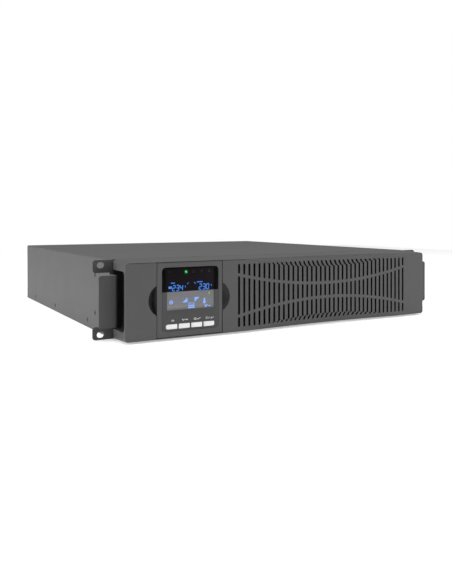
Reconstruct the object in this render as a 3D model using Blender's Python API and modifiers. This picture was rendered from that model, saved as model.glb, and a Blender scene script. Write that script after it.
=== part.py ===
"""A two-unit rack-mount uninterruptible power supply, as separate pieces.

Sizes are in millimetres and MM turns them into Blender's metres. X runs to the right, Y back and Z up.
Every Y value is a depth behind the face of the bezel: the empty case_frame moves the whole model, so that its
origin is the middle of its footprint on the shelf.
"""

import math

import bmesh
import bpy
from mathutils import Matrix

MM = 0.001
GAP = 0.3  # between pieces that touch

# Case
HALF_WIDTH = 219.0
HEIGHT = 88.0
MID_Z = HEIGHT / 2
REAR_FACE = 469.4
REAR_EDGE = 469.6
REAR_PROUD = 8.0  # the thumb screws behind the rear edge
SHEET = 1.2
COVER_FRONT = 41.3
CEILING = HEIGHT - SHEET

# Bezel
BEZEL_DEPTH = 40.5
FACE_HALF_WIDTH = 218.35
FACE_HALF_HEIGHT = 42.07
FACE_CORNER = 3.5
BEZEL_WALL = 2.6

# Grille
SLOT_COUNT = 38
SLOT_PITCH = 7.0
SLOT_WIDTH = 2.7
SLOT_HALF_HEIGHT = 36.6
GRILLE_X = 50.4
BAR_HALF_SPAN = 129.0
BAR_WAIST = 8.8  # from the middle of the face to a cross bar at its nearest
BAR_RISE = 15.0
BAR_HEIGHT = 3.5
SCOOP_HALF_SPAN = 124.0
SCOOP_HEIGHT = 12.8
SCOOP_DEPTH = 8.5
SCOOP_STEPS = 20
SCOOP_SHIFT = 0.05  # keeps its tips off the bezel's edge
CLIPS_X = (-112.7, 79.8)
CLIP_HALF_WIDTH = 4.6

# Display module
DISPLAY_X = -141.8
DISPLAY_Z = 44.3
DISPLAY_HALF = 40.3
DISPLAY_HALF_HEIGHT = 40.8
DISPLAY_CLEARANCE = 0.5
DISPLAY_DEPTH = 22.0
MOON_RADIUS = 18.6
MOON_INSET = 8.6  # the scoop's centre, inside the module's edge
MOON_DEPTH = 15.0
OVERLAY_X = -141.4
OVERLAY_HALF = 34.8
OVERLAY_THICKNESS = 0.8
BUTTON_Z = 14.8
BUTTON_HALF = (6.75, 2.65)
BUTTON_PITCH = 15.4
KEY_PROUD = 0.3

# Rack ears and their handles
EAR_INNER = 215.7
EAR_THICKNESS = 1.8
EAR_BEND = 3.3  # outside radius
EAR_TIP = 241.3
EAR_PLANE = 38.7
EAR_TAB_HEIGHT = 14.0
TAB_CORNER = 3.0
HANDLE_PLANE = 17.9
HANDLE_HALF_HEIGHT = 28.1
HANDLE_OFFSET = 4.4  # how far outside the ear's own plate the handle's leg stands
RACK_HOLE_X = 232.5
RACK_HOLE_RISE = 38.1
RACK_HOLE = (4.25, 3.4)
GRIP_DEPTH = 12.0
GRIP_Z = (12.0, 77.0)

# Inside
BATTERY = (94.0, 151.0, 65.0)
BATTERY_X = (8.5, 108.0)
BATTERY_Y = (48.0, 203.0)
TRAY_X = (3.5, 211.5)
DIVIDER_X = -2.4
BOARD_TOP = 11.6
BOARD_THICKNESS = 1.6

# Rear
FAN_SIZE = 80.0
FAN_DEPTH = 25.0
FAN_X = (-168.0, -84.0)
FAN_BORE = 38.3
FAN_BLADES = 7
BLADE_PITCH = 52.0
OUTLETS_X = 86.0
OUTLET_PITCH = 28.0
OUTLETS_Z = (61.5, 26.5)
INLET = (180.0, 62.0)
BREAKER = (158.0, 24.0)
PACK_SOCKET = (192.0, 24.0)
CARD_SLOT = (-10.0, 62.0)
USB = (-30.0, 22.0)
SERIAL = (-8.0, 22.0)
STOP_BLOCK = (16.2, 22.0)

COVER_SCREWS = ((130.0, 9.0), (284.0, 8.5), (407.0, 8.0))
EAR_SCREWS = ((100.0, 66.0), (100.0, 21.0))


# ---------------------------------------------------------------- scene and materials

for leftover in list(bpy.data.objects):
    bpy.data.objects.remove(leftover, do_unlink=True)


def new_collection(name):
    made = bpy.data.collections.new(name)
    bpy.context.scene.collection.children.link(made)
    return made


PIECES = new_collection("uninterruptible_power_supply")
CUTTERS = new_collection("cutters")

case_frame = bpy.data.objects.new("case_frame", None)
case_frame.location = (0, -(REAR_EDGE + REAR_PROUD - KEY_PROUD) / 2 * MM, 0)
PIECES.objects.link(case_frame)


def material(name, colour, roughness, metallic=0.0):
    made = bpy.data.materials.new(name)
    made.use_nodes = True
    shader = made.node_tree.nodes["Principled BSDF"]
    shader.inputs["Base Color"].default_value = (*colour, 1)
    shader.inputs["Roughness"].default_value = roughness
    shader.inputs["Metallic"].default_value = metallic
    made.diffuse_color = (*colour, 1)
    return made


CASE_PAINT = material("case_paint", (0.16, 0.16, 0.16), 0.6)
BEZEL_PLASTIC = material("bezel_plastic", (0.10, 0.10, 0.10), 0.55)
EAR_PAINT = material("ear_paint", (0.07, 0.07, 0.07), 0.5)
LENS = material("overlay_gloss", (0.01, 0.01, 0.012), 0.1)
LCD_GLASS = material("lcd_glass", (0.05, 0.05, 0.08), 0.2)
WHITE_KEY = material("white_key", (0.8, 0.8, 0.8), 0.4)
BOARD = material("circuit_board", (0.02, 0.12, 0.05), 0.5)
BLACK_PLASTIC = material("black_plastic", (0.02, 0.02, 0.02), 0.45)
GREEN_PLASTIC = material("green_plastic", (0.03, 0.25, 0.08), 0.5)
BATTERY_CASE = material("battery_case", (0.09, 0.09, 0.1), 0.55)
ALUMINIUM = material("fin_aluminium", (0.6, 0.6, 0.62), 0.35, 1.0)
ZINC = material("zinc_steel", (0.5, 0.5, 0.5), 0.35, 1.0)
DARK_ZINC = material("black_screw", (0.03, 0.03, 0.03), 0.4, 1.0)
COPPER = material("winding", (0.45, 0.2, 0.08), 0.4, 1.0)
CAPACITOR_SLEEVE = material("capacitor_sleeve", (0.03, 0.05, 0.12), 0.4)


# ---------------------------------------------------------------- shapes

AXIS_TURN = {"X": (math.pi / 2, 0, math.pi / 2), "Y": (math.pi / 2, 0, 0), "Z": (0, 0, 0)}


def middle(span):
    return (span[0] + span[1]) / 2


def place(name, mesh, centre, skin, turn=(0, 0, 0)):
    """An object on the case frame: a piece when it has a skin, or a hidden cutter."""
    made = bpy.data.objects.new(name, mesh)
    made.location = [value * MM for value in centre]
    made.rotation_euler = turn
    made.parent = case_frame
    if skin is None:
        made.hide_render = True
        made.display_type = "WIRE"
        CUTTERS.objects.link(made)
    else:
        mesh.materials.clear()
        mesh.materials.append(skin)
        PIECES.objects.link(made)
    return made


def mesh_from(shape, name):
    bmesh.ops.recalc_face_normals(shape, faces=shape.faces)
    mesh = bpy.data.meshes.new(name)
    shape.to_mesh(mesh)
    shape.free()
    return mesh


def box(name, x, y, z, skin=None):
    """A box from its (low, high) ranges."""
    shape = bmesh.new()
    bmesh.ops.create_cube(shape, size=MM)
    bmesh.ops.scale(shape, vec=(x[1] - x[0], y[1] - y[0], z[1] - z[0]), verts=shape.verts)
    return place(name, mesh_from(shape, name), (middle(x), middle(y), middle(z)), skin)


def boxes(name, ranges, skin=None):
    """Several boxes that stand apart, in one object."""
    shape = bmesh.new()
    for x, y, z in ranges:
        cube = bmesh.ops.create_cube(shape, size=MM)["verts"]
        bmesh.ops.scale(shape, vec=(x[1] - x[0], y[1] - y[0], z[1] - z[0]), verts=cube)
        shift = [middle(span) * MM for span in (x, y, z)]
        bmesh.ops.translate(shape, vec=shift, verts=cube)
    return place(name, mesh_from(shape, name), (0, 0, 0), skin)


def cylinder(name, radius, axis, centre, length, skin=None, segments=16):
    """A cylinder along an axis, about its centre."""
    shape = bmesh.new()
    reach = radius * MM
    size = {"radius1": reach, "radius2": reach, "depth": length * MM}
    bmesh.ops.create_cone(shape, cap_ends=True, segments=segments, **size)
    made = place(name, mesh_from(shape, name), centre, skin, AXIS_TURN[axis])
    made.data.shade_smooth()
    made.data.set_sharp_from_angle(angle=math.radians(35))
    return made


def prism(name, outlines, axis, span, skin=None, centre=(0, 0)):
    """Flat outlines drawn across an axis and extruded along it. An outline inside another is a hole."""
    curve = bpy.data.curves.new(name, "CURVE")
    curve.dimensions = "2D"
    curve.fill_mode = "BOTH"
    curve.extrude = (span[1] - span[0]) / 2 * MM
    for outline in outlines:
        spline = curve.splines.new("POLY")
        spline.points.add(len(outline) - 1)
        for point, (u, v) in zip(spline.points, outline):
            point.co = (u * MM, v * MM, 0, 1)
        spline.use_cyclic_u = True
    drawn = bpy.data.objects.new(name + "_outline", curve)
    PIECES.objects.link(drawn)
    bpy.context.view_layer.update()
    flat = bpy.data.meshes.new_from_object(drawn.evaluated_get(bpy.context.evaluated_depsgraph_get()))
    bpy.data.objects.remove(drawn, do_unlink=True)
    shape = bmesh.new()
    shape.from_mesh(flat)
    bmesh.ops.remove_doubles(shape, verts=shape.verts, dist=0.001 * MM)
    mesh = mesh_from(shape, name)
    across = {
        "X": (middle(span), *centre),
        "Y": (centre[0], middle(span), centre[1]),
        "Z": (*centre, middle(span)),
    }
    return place(name, mesh, across[axis], skin, AXIS_TURN[axis])


def arc(centre, radius, start, end, steps):
    """Points on an arc, with angles in degrees."""
    angles = [math.radians(start + (end - start) * i / steps) for i in range(steps + 1)]
    return [(centre[0] + radius * math.cos(a), centre[1] + radius * math.sin(a)) for a in angles]


def rounded_rectangle(x, z, radius, steps=3):
    corners = ((x[1], z[1], 0), (x[0], z[1], 90), (x[0], z[0], 180), (x[1], z[0], 270))
    points = []
    for corner_x, corner_z, start in corners:
        inset_x = corner_x - radius if corner_x == x[1] else corner_x + radius
        inset_z = corner_z - radius if corner_z == z[1] else corner_z + radius
        points += arc((inset_x, inset_z), radius, start, start + 90, steps)
    return points


def circle(radius, segments=24, centre=(0, 0)):
    return arc(centre, radius, 0, 360 - 360 / segments, segments - 1)


def oval(half_x, half_z, centre=(0, 0), steps=5):
    """A slot with round ends, longer along X."""
    reach = half_x - half_z
    right = arc((centre[0] + reach, centre[1]), half_z, -90, 90, steps)
    left = arc((centre[0] - reach, centre[1]), half_z, 90, 270, steps)
    return right + left


def bent_path(points, radius, steps=3):
    """An open path with an arc at each corner."""
    path = [points[0]]
    for before, corner, after in zip(points, points[1:], points[2:]):
        for step in range(steps + 1):
            t = step / steps
            start = toward(corner, before, radius)
            end = toward(corner, after, radius)
            weights = ((1 - t) ** 2, 2 * t * (1 - t), t**2)
            blend = [sum(w * p[k] for w, p in zip(weights, (start, corner, end))) for k in (0, 1)]
            path.append(tuple(blend))
    return path + [points[-1]]


def toward(start, end, distance):
    length = math.dist(start, end)
    return tuple(a + (b - a) * distance / length for a, b in zip(start, end))


def folded_sheet(name, path, axis, span, thickness, skin=None):
    """Sheet metal whose middle follows a path, drawn across an axis and run along it."""
    shape = bmesh.new()
    corners = []
    for u, v in path:
        point = {"X": (span[0], u, v), "Y": (u, span[0], v), "Z": (u, v, span[0])}[axis]
        corners.append(shape.verts.new([value * MM for value in point]))
    edges = [shape.edges.new(pair) for pair in zip(corners, corners[1:])]
    run = bmesh.ops.extrude_edge_only(shape, edges=edges)["geom"]
    along = {"X": (1, 0, 0), "Y": (0, 1, 0), "Z": (0, 0, 1)}[axis]
    moved = [item for item in run if isinstance(item, bmesh.types.BMVert)]
    length = (span[1] - span[0]) * MM
    bmesh.ops.translate(shape, vec=[value * length for value in along], verts=moved)
    made = place(name, mesh_from(shape, name), (0, 0, 0), skin)
    wall = made.modifiers.new("sheet", "SOLIDIFY")
    wall.thickness = thickness * MM
    wall.offset = 0
    wall.use_even_offset = True
    return made


def side_range(side, inner, outer):
    return tuple(sorted((side * inner, side * outer)))


def hide(tool):
    if tool.name not in CUTTERS.objects:
        PIECES.objects.unlink(tool)
        CUTTERS.objects.link(tool)
    tool.hide_render = True
    tool.display_type = "WIRE"


def combine(target, operation, tools):
    for tool in tools:
        step = target.modifiers.new(tool.name[:60], "BOOLEAN")
        step.operation = operation
        step.object = tool
        hide(tool)
    return target


def cut(target, *tools):
    return combine(target, "DIFFERENCE", tools)


def join(target, *tools):
    return combine(target, "UNION", tools)


def overlap(target, *tools):
    return combine(target, "INTERSECT", tools)


def soften(target, width, segments=1):
    edge = target.modifiers.new("edges", "BEVEL")
    edge.width = width * MM
    edge.segments = segments
    edge.limit_method = "ANGLE"
    return target


# ---------------------------------------------------------------- case


def build_case():
    side = HALF_WIDTH - SHEET / 2
    top = HEIGHT - SHEET / 2
    path = bent_path([(-side, 0), (-side, top), (side, top), (side, 0)], 1.2, 2)
    cover = folded_sheet("top_cover", path, "Y", (COVER_FRONT, REAR_EDGE), SHEET, CASE_PAINT)
    notch_half = CLIP_HALF_WIDTH + 1.0
    through_top = (CEILING - 1, HEIGHT + 1)
    notches = [((x - notch_half, x + notch_half), (COVER_FRONT - 2, 45.6), through_top) for x in CLIPS_X]
    release = ((109.0, 138.5), (50.0, 51.8), through_top)
    cut(cover, boxes("cover_front_notches", notches + [release]))

    flange_x = HALF_WIDTH - SHEET - 0.4 - SHEET / 2
    floor_z = SHEET / 2
    path = bent_path([(-flange_x, 15), (-flange_x, floor_z), (flange_x, floor_z), (flange_x, 15)], 1.2, 2)
    tray = folded_sheet("base_tray", path, "Y", (41.2, 466.9), SHEET, CASE_PAINT)
    for number, (x, y) in enumerate(((-200, 70), (-16, 70), (-200, 426), (-16, 426))):
        low, high = SHEET / 2, BOARD_TOP - BOARD_THICKNESS - GAP
        join(tray, cylinder(f"standoff_{number}", 3.0, "Z", (x, y, (low + high) / 2), high - low, CASE_PAINT, 8))

    for number, (y, z) in enumerate(COVER_SCREWS + EAR_SCREWS):
        through = cylinder(f"side_hole_{number}", 1.8, "X", (0, y, z), 460, segments=8)
        for side, x in (("left", -HALF_WIDTH), ("right", HALF_WIDTH)):
            cut(cover, cylinder(f"{side}_seat_{number}", 2.9, "X", (x, y, z), 2 * SHEET + 0.6, segments=12))
        if z < 16:
            cut(tray, through)

    wall = box("front_bulkhead", (-215.3, 215.3), (44.0, 45.2), (1.5, 82.6), CASE_PAINT)
    doorway = ((1.2, 214.0), (43, 46), (0, 76.0))
    vents = [((x, x + 6), (43, 46), (16, 78)) for x in range(-200, -30, 14)]
    cut(wall, boxes("bulkhead_openings", [doorway] + vents))
    box("divider_wall", (DIVIDER_X - 0.6, DIVIDER_X + 0.6), (45.6, 440), (1.5, 80), CASE_PAINT)


def side_screws():
    """Countersunk screws, flush in the cover's sides."""
    head = 1.7
    shank = 4.6
    for side_name, side in (("left", -1), ("right", 1)):
        places = [("cover", n, p) for n, p in enumerate(COVER_SCREWS, 1)]
        places += [("ear", n, p) for n, p in enumerate(EAR_SCREWS, 1)]
        for kind, number, (y, z) in places:
            outer = side * (HALF_WIDTH - 0.1)
            name = f"{kind}_screw_{side_name}_{number}"
            made = cylinder(name, 2.6, "X", (outer - side * 0.45, y, z), 0.9, DARK_ZINC, 10)
            stem_x = outer - side * (head + shank) / 2
            stem = cylinder(name + "_shank", 1.5, "X", (stem_x, y, z), head + shank, DARK_ZINC, 8)
            join(made, stem)
            cut(made, box(name + "_slot", (outer - 0.5, outer + 0.5), (y - 0.4, y + 0.4), (z - 1.8, z + 1.8)))


# ---------------------------------------------------------------- rack ears


def build_ear(name, side):
    """One bent sheet: a plate inside the cover, two rack tabs and a handle that stands forward of them."""
    skin = EAR_INNER + EAR_THICKNESS

    def bent_plate(label, plane, rear, offset):
        """An L with a round bend, drawn in plan."""
        bend = (skin + offset + EAR_BEND - EAR_THICKNESS, plane + EAR_BEND)
        outer_bend = arc(bend, EAR_BEND, 180, 270, 4)
        inner_bend = arc(bend, EAR_BEND - EAR_THICKNESS, 270, 180, 4)
        tip = [(EAR_TIP, plane), (EAR_TIP, plane + EAR_THICKNESS)]
        outline = [(EAR_INNER + offset, rear)] + outer_bend + tip + inner_bend + [(skin + offset, rear)]
        outline = [(side * x, y) for x, y in outline]
        return prism(label, [outline], "Z", (0.3, HEIGHT - 0.3), EAR_PAINT)

    def silhouette(label, ranges):
        outlines = []
        for x, z, radius in ranges:
            outlines.append([(side * u, v) for u, v in rounded_rectangle(x, z, radius)])
        return prism(label, outlines, "Y", (0, 120))

    ear = bent_plate(name, EAR_PLANE, 108, 0.0)
    plate_limit = skin + HANDLE_OFFSET + 0.1
    tabs = ((0.3, 0.3 + EAR_TAB_HEIGHT), (HEIGHT - 0.3 - EAR_TAB_HEIGHT, HEIGHT - 0.3))
    gap_x = side_range(side, plate_limit, EAR_TIP + 5)
    between_tabs = box(name + "_gap", gap_x, (30, 60), (tabs[0][1], tabs[1][0]))
    trim_x = side_range(side, EAR_INNER - 5, skin + 1)
    plate_trims = [(trim_x, (EAR_PLANE + 2.1, 120), z) for z in ((-1, 17.0), (85.0, 90))]
    cut(ear, between_tabs, boxes(name + "_trim", plate_trims))
    corner_x = side * (EAR_TIP - TAB_CORNER)
    square_x = side_range(side, EAR_TIP - TAB_CORNER, EAR_TIP + 4)
    for number, tab in enumerate(tabs):
        for end, z in enumerate((tab[0] + TAB_CORNER, tab[1] - TAB_CORNER)):
            way = -1 if end == 0 else 1
            square = box(f"{name}_corner_{number}{end}", square_x, (30, 60), tuple(sorted((z, z + way * 7))))
            label = f"{name}_round_{number}{end}"
            cut(square, cylinder(label, TAB_CORNER, "Y", (corner_x, 45, z), 60, segments=20))
            cut(ear, square)

    handle = bent_plate(name + "_handle", HANDLE_PLANE, EAR_PLANE + EAR_THICKNESS / 2, HANDLE_OFFSET)
    outline = [((EAR_INNER - 4, EAR_TIP), (MID_Z - HANDLE_HALF_HEIGHT, MID_Z + HANDLE_HALF_HEIGHT), 3.0)]
    overlap(handle, silhouette(name + "_handle_outline", outline))
    join(ear, handle)

    holes = [
        [(side * RACK_HOLE_X + u, MID_Z + rise + v) for u, v in oval(*RACK_HOLE)]
        for rise in (-RACK_HOLE_RISE, RACK_HOLE_RISE)
    ]
    cut(ear, prism(name + "_rack_holes", holes, "Y", (30, 60)))
    for number, (y, z) in enumerate(EAR_SCREWS):
        cut(ear, cylinder(f"{name}_screw_hole_{number}", 1.8, "X", (side * skin, y, z), 12, segments=8))
    return ear


# ---------------------------------------------------------------- bezel


def scoop(name, z, margin=0.0):
    """A spindle along the bezel's edge: a parabola turned about X, then flattened to the scoop's section."""
    reach = SCOOP_HALF_SPAN + margin
    steps = 14
    profile = []
    for step in range(steps + 1):
        along = reach * math.cos(math.pi * step / steps)
        profile.append((1 - (along / reach) ** 2 if 0 < step < steps else 0.0, along))
    shape = bmesh.new()
    start = math.pi / SCOOP_STEPS  # half a step, so that no corner lies in the bezel's face
    around = (math.cos(start) * MM, math.sin(start) * MM)
    corners = []
    for radius, along in profile:
        corners.append(shape.verts.new((radius * around[0], radius * around[1], along * MM)))
    for pair in zip(corners, corners[1:]):
        shape.edges.new(pair)
    mesh = bpy.data.meshes.new(name)
    shape.to_mesh(mesh)
    shape.free()
    outward = math.copysign(SCOOP_SHIFT, z - MID_Z)
    made = place(name, mesh, (GRILLE_X, -SCOOP_SHIFT, z + outward), None, (0, math.pi / 2, 0))
    made.scale = (SCOOP_HEIGHT + margin, SCOOP_DEPTH + margin, 1)
    turn = made.modifiers.new("turn", "SCREW")
    turn.steps = turn.render_steps = SCOOP_STEPS
    turn.use_merge_vertices = True
    turn.merge_threshold = 0.00001
    return made


def moon(name, side, margin=0.0):
    """An ellipsoid scoop for a fingertip beside the display module."""
    shape = bmesh.new()
    bmesh.ops.create_uvsphere(shape, u_segments=20, v_segments=10, radius=MM)
    across = MOON_RADIUS + margin
    bmesh.ops.scale(shape, vec=(across, MOON_DEPTH + margin, across), verts=shape.verts)
    x = DISPLAY_X + side * (DISPLAY_HALF - MOON_INSET)
    return place(name, mesh_from(shape, name), (x, -SCOOP_SHIFT, DISPLAY_Z), None)


def bar_height(x):
    """How far a cross bar's middle is from the middle of the face."""
    return BAR_WAIST + BAR_RISE * ((x - GRILLE_X) / BAR_HALF_SPAN) ** 2


def grille_slots():
    ranges = []
    for number in range(SLOT_COUNT):
        x = GRILLE_X + (number - (SLOT_COUNT - 1) / 2) * SLOT_PITCH
        width = (x - SLOT_WIDTH / 2, x + SLOT_WIDTH / 2)
        inner = bar_height(x) - BAR_HEIGHT / 2
        outer = bar_height(x) + BAR_HEIGHT / 2
        for low, high in ((-SLOT_HALF_HEIGHT, -outer), (-inner, inner), (outer, SLOT_HALF_HEIGHT)):
            ranges.append((width, (-1, 16), (MID_Z + low, MID_Z + high)))
    return ranges


def build_bezel():
    shape = bmesh.new()
    bmesh.ops.create_cube(shape, size=MM)
    for corner in shape.verts:
        front = corner.co.y < 0
        half_width = FACE_HALF_WIDTH if front else HALF_WIDTH
        half_height = FACE_HALF_HEIGHT if front else HEIGHT / 2
        corner.co.x *= 2 * half_width
        corner.co.z *= 2 * half_height
        corner.co.y *= BEZEL_DEPTH
    long_edges = [edge for edge in shape.edges if edge.verts[0].co.y * edge.verts[1].co.y < 0]
    bmesh.ops.bevel(shape, geom=long_edges, offset=FACE_CORNER * MM, segments=3, affect="EDGES", profile=0.5)
    bezel = place("front_bezel", mesh_from(shape, "front_bezel"), (0, BEZEL_DEPTH / 2, MID_Z), BEZEL_PLASTIC)

    pocket_x = (DISPLAY_X - DISPLAY_HALF - DISPLAY_CLEARANCE, DISPLAY_X + DISPLAY_HALF + DISPLAY_CLEARANCE)
    pocket_half_height = DISPLAY_HALF_HEIGHT + DISPLAY_CLEARANCE
    pocket_z = (DISPLAY_Z - pocket_half_height, DISPLAY_Z + pocket_half_height)
    pocket_depth = DISPLAY_DEPTH + DISPLAY_CLEARANCE

    cavity = box("bezel_cavity", (-216.3, 216.3), (BEZEL_WALL, 60), (MID_Z - 40.3, MID_Z + 40.3))
    solid_zones = [((pocket_x[0] - 1.6, pocket_x[1] + 1.6), (0, pocket_depth + 1.6), (-5, HEIGHT + 5))]
    for side in (-1, 1):
        x = side_range(side, HALF_WIDTH - GRIP_DEPTH - 2, HALF_WIDTH + 5)
        solid_zones.append((x, (0, 70), (GRIP_Z[0] - 2, GRIP_Z[1] + 2)))
    cut(cavity, boxes("cavity_keeps", solid_zones))
    for label, z in (("low", MID_Z - FACE_HALF_HEIGHT), ("high", MID_Z + FACE_HALF_HEIGHT)):
        cut(cavity, scoop(f"scoop_wall_{label}", z, BEZEL_WALL))
    for label, side in (("left", -1), ("right", 1)):
        cut(cavity, moon(f"moon_wall_{label}", side, 1.6))
    cut(bezel, cavity)

    for label, z in (("low", MID_Z - FACE_HALF_HEIGHT), ("high", MID_Z + FACE_HALF_HEIGHT)):
        cut(bezel, scoop(f"scoop_{label}", z))
    cut(bezel, boxes("grille_slots", grille_slots()))
    cut(bezel, moon("moon_left", -1), moon("moon_right", 1))
    ribbon_hole = ((DISPLAY_X - 15, DISPLAY_X + 15), (pocket_depth - 1, 60), (DISPLAY_Z - 6, DISPLAY_Z + 6))
    pocket = box("display_pocket", pocket_x, (-2, pocket_depth), pocket_z)
    cut(bezel, pocket, box("ribbon_hole", *ribbon_hole))
    for label, side in (("left", -1), ("right", 1)):
        x = side_range(side, HALF_WIDTH - GRIP_DEPTH, HALF_WIDTH + 10)
        grip = box(f"grip_{label}", x, (3.2, 60), GRIP_Z)
        soften(grip, 4, 2)
        cut(bezel, grip)
        way_x = side_range(side, EAR_INNER - 0.5, HALF_WIDTH + 10)
        cut(bezel, box(f"arm_way_{label}", way_x, (EAR_PLANE - 0.4, 60), (-5, 95)))

    for number, middle_x in enumerate(CLIPS_X):
        x = (middle_x - CLIP_HALF_WIDTH, middle_x + CLIP_HALF_WIDTH)
        arm = box(f"clip_arm_{number}", x, (30, 45.0), (83.2, CEILING - 0.5), BEZEL_PLASTIC)
        nose = box(f"clip_nose_{number}", x, (42.6, 45.0), (85, HEIGHT - 0.1), BEZEL_PLASTIC)
        join(bezel, arm, nose)


# ---------------------------------------------------------------- display module


def button_x(number):
    return DISPLAY_X + (number - 1.5) * BUTTON_PITCH


def build_display():
    x = (DISPLAY_X - DISPLAY_HALF, DISPLAY_X + DISPLAY_HALF)
    z = (DISPLAY_Z - DISPLAY_HALF_HEIGHT, DISPLAY_Z + DISPLAY_HALF_HEIGHT)
    housing = box("display_housing", x, (0, DISPLAY_DEPTH), z, BEZEL_PLASTIC)
    inside = box("display_inside", (x[0] + 1.8, x[1] - 1.8), (2.4, 40), (z[0] + 1.8, z[1] - 1.8))
    reach = OVERLAY_HALF + 0.2
    seat = rounded_rectangle(
        (OVERLAY_X - reach, OVERLAY_X + reach), (DISPLAY_Z + 0.4 - reach, DISPLAY_Z + 0.4 + reach), 4.0
    )
    cut(housing, inside, prism("overlay_seat", [seat], "Y", (-1, OVERLAY_THICKNESS + GAP)))
    window = ((OVERLAY_X - 28.5, OVERLAY_X + 28.5), (-1, 5), (32.0, 77.0))
    keyways = [
        ((button_x(n) - 7.1, button_x(n) + 7.1), (-1, 5), (BUTTON_Z - 3.0, BUTTON_Z + 3.0)) for n in range(4)
    ]
    cut(housing, boxes("housing_windows", [window] + keyways))

    outline = rounded_rectangle(
        (OVERLAY_X - OVERLAY_HALF, OVERLAY_X + OVERLAY_HALF),
        (DISPLAY_Z + 0.4 - OVERLAY_HALF, DISPLAY_Z + 0.4 + OVERLAY_HALF), 3.8,
    )
    overlay = prism("display_overlay", [outline], "Y", (0, OVERLAY_THICKNESS), LENS)
    cut(overlay, boxes("overlay_keyways", keyways))
    box("lcd_panel", (OVERLAY_X - 33, OVERLAY_X + 33), (2.8, 6.4), (28.5, 79.5), LCD_GLASS)
    board = box("display_board", (x[0] + 3, x[1] - 3), (9.2, 10.8), (z[0] + 3, z[1] - 3), BOARD)
    plug_x = (DISPLAY_X - 12, DISPLAY_X + 12)
    join(board, box("ribbon_socket", plug_x, (10.2, 16.0), (DISPLAY_Z - 3, DISPLAY_Z + 3), BOARD))

    def around_button(number, half_x, half_z):
        x = (button_x(number) - half_x, button_x(number) + half_x)
        return x, (BUTTON_Z - half_z, BUTTON_Z + half_z)

    for number, name in enumerate(("button_up", "button_down", "button_select", "button_power")):
        face_x, face_z = around_button(number, *BUTTON_HALF)
        rim_x, rim_z = around_button(number, BUTTON_HALF[0] + 0.75, BUTTON_HALF[1] + 1.2)
        stem_x, stem_z = around_button(number, 1.5, 1.5)
        key = box(name, face_x, (-KEY_PROUD, 4.0), face_z, WHITE_KEY)
        rim = box(name + "_rim", rim_x, (3.5, 4.6), rim_z, WHITE_KEY)
        join(key, rim, box(name + "_stem", stem_x, (4, 7.6), stem_z, WHITE_KEY))


# ---------------------------------------------------------------- batteries


def build_batteries():
    wide, deep, tall = BATTERY
    path = bent_path([(TRAY_X[0], 30), (TRAY_X[0], 2.5), (TRAY_X[1], 2.5), (TRAY_X[1], 30)], 1.2, 2)
    folded_sheet("battery_tray", path, "Y", (46.0, 362), 1.0, CASE_PAINT)
    door = box("battery_door", (-1.6, 214.4), (42.4, 43.6), (2.4, 82), CASE_PAINT)
    cut(door, prism("door_pull", [oval(16, 6, (107, 66))], "Y", (41, 45)))
    low = 3.0 + GAP
    for column, x in enumerate(BATTERY_X):
        for row, y in enumerate(BATTERY_Y):
            name = f"battery_{1 + row + 2 * column}"
            case = box(name, (x, x + wide), (y, y + deep), (low, low + tall), BATTERY_CASE)
            step_z = (low + tall - 1.5, low + tall + 1)
            cut(case, box(name + "_step", (x - 1, x + wide + 1), (y - 1, y + 12), step_z))
            tab = ((x + 12, x + 17), (y + 3, y + 11), (low + tall - 3, low + tall + 4))
            other_tab = ((x + wide - 17, x + wide - 12), (y + 3, y + 11), (low + tall - 3, low + tall + 4))
            join(case, boxes(name + "_terminals", [tab, other_tab], BATTERY_CASE))
    edge = (TRAY_X[0] - 1.3, TRAY_X[1] + 1.3)
    path = bent_path([(edge[0], 20), (edge[0], 70.0), (edge[1], 70.0), (edge[1], 20)], 1.2, 2)
    folded_sheet("battery_clamp", path, "Y", (170, 196), 1.0, CASE_PAINT)


# ---------------------------------------------------------------- power electronics


def build_electronics():
    box("main_board", (-208, -8), (60, 436), (BOARD_TOP - BOARD_THICKNESS, BOARD_TOP), BOARD)
    box("control_board", (-200, -60), (50, 51.6), (14, 78), BOARD)
    floor = BOARD_TOP + GAP

    for name, x in (("heatsink_left", -200.0), ("heatsink_right", -62.0)):
        fins = [(x, floor), (x + 42, floor)]
        for level in range(7):
            z = floor + 4 + level * 8.0
            fins += [(x + 42, z), (x + 5, z), (x + 5, z + 5.5), (x + 42, z + 5.5)]
        fins += [(x + 42, floor + 62), (x, floor + 62)]
        prism(name, [fins], "Y", (240, 400), ALUMINIUM)

    for number, (x, y) in enumerate(((-128, 330), (-92, 330)), 1):
        cylinder(f"capacitor_{number}", 15, "Z", (x, y, floor + 24), 48, CAPACITOR_SLEEVE, 16)

    choke = bpy.data.meshes.new("choke")
    shape = bmesh.new()
    ring = [shape.verts.new(((20 + 9 * math.cos(a)) * MM, 0, 9 * math.sin(a) * MM))
            for a in [-2 * math.pi * i / 8 for i in range(8)]]
    for pair in zip(ring, ring[1:] + ring[:1]):
        shape.edges.new(pair)
    shape.to_mesh(choke)
    shape.free()
    inductor = place("filter_choke", choke, (-90, 150, floor + 29.4), COPPER, (0, math.pi / 2, 0))
    turn = inductor.modifiers.new("turn", "SCREW")
    turn.steps = turn.render_steps = 16
    turn.use_merge_vertices = True
    turn.merge_threshold = 0.00001

    core = box("transformer", (-196, -130), (90, 130), (floor, floor + 56), ZINC)
    coil = box("transformer_coil", (-182, -144), (82, 138), (floor + 9, floor + 47), COPPER)
    join(core, coil)


# ---------------------------------------------------------------- rear


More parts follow.
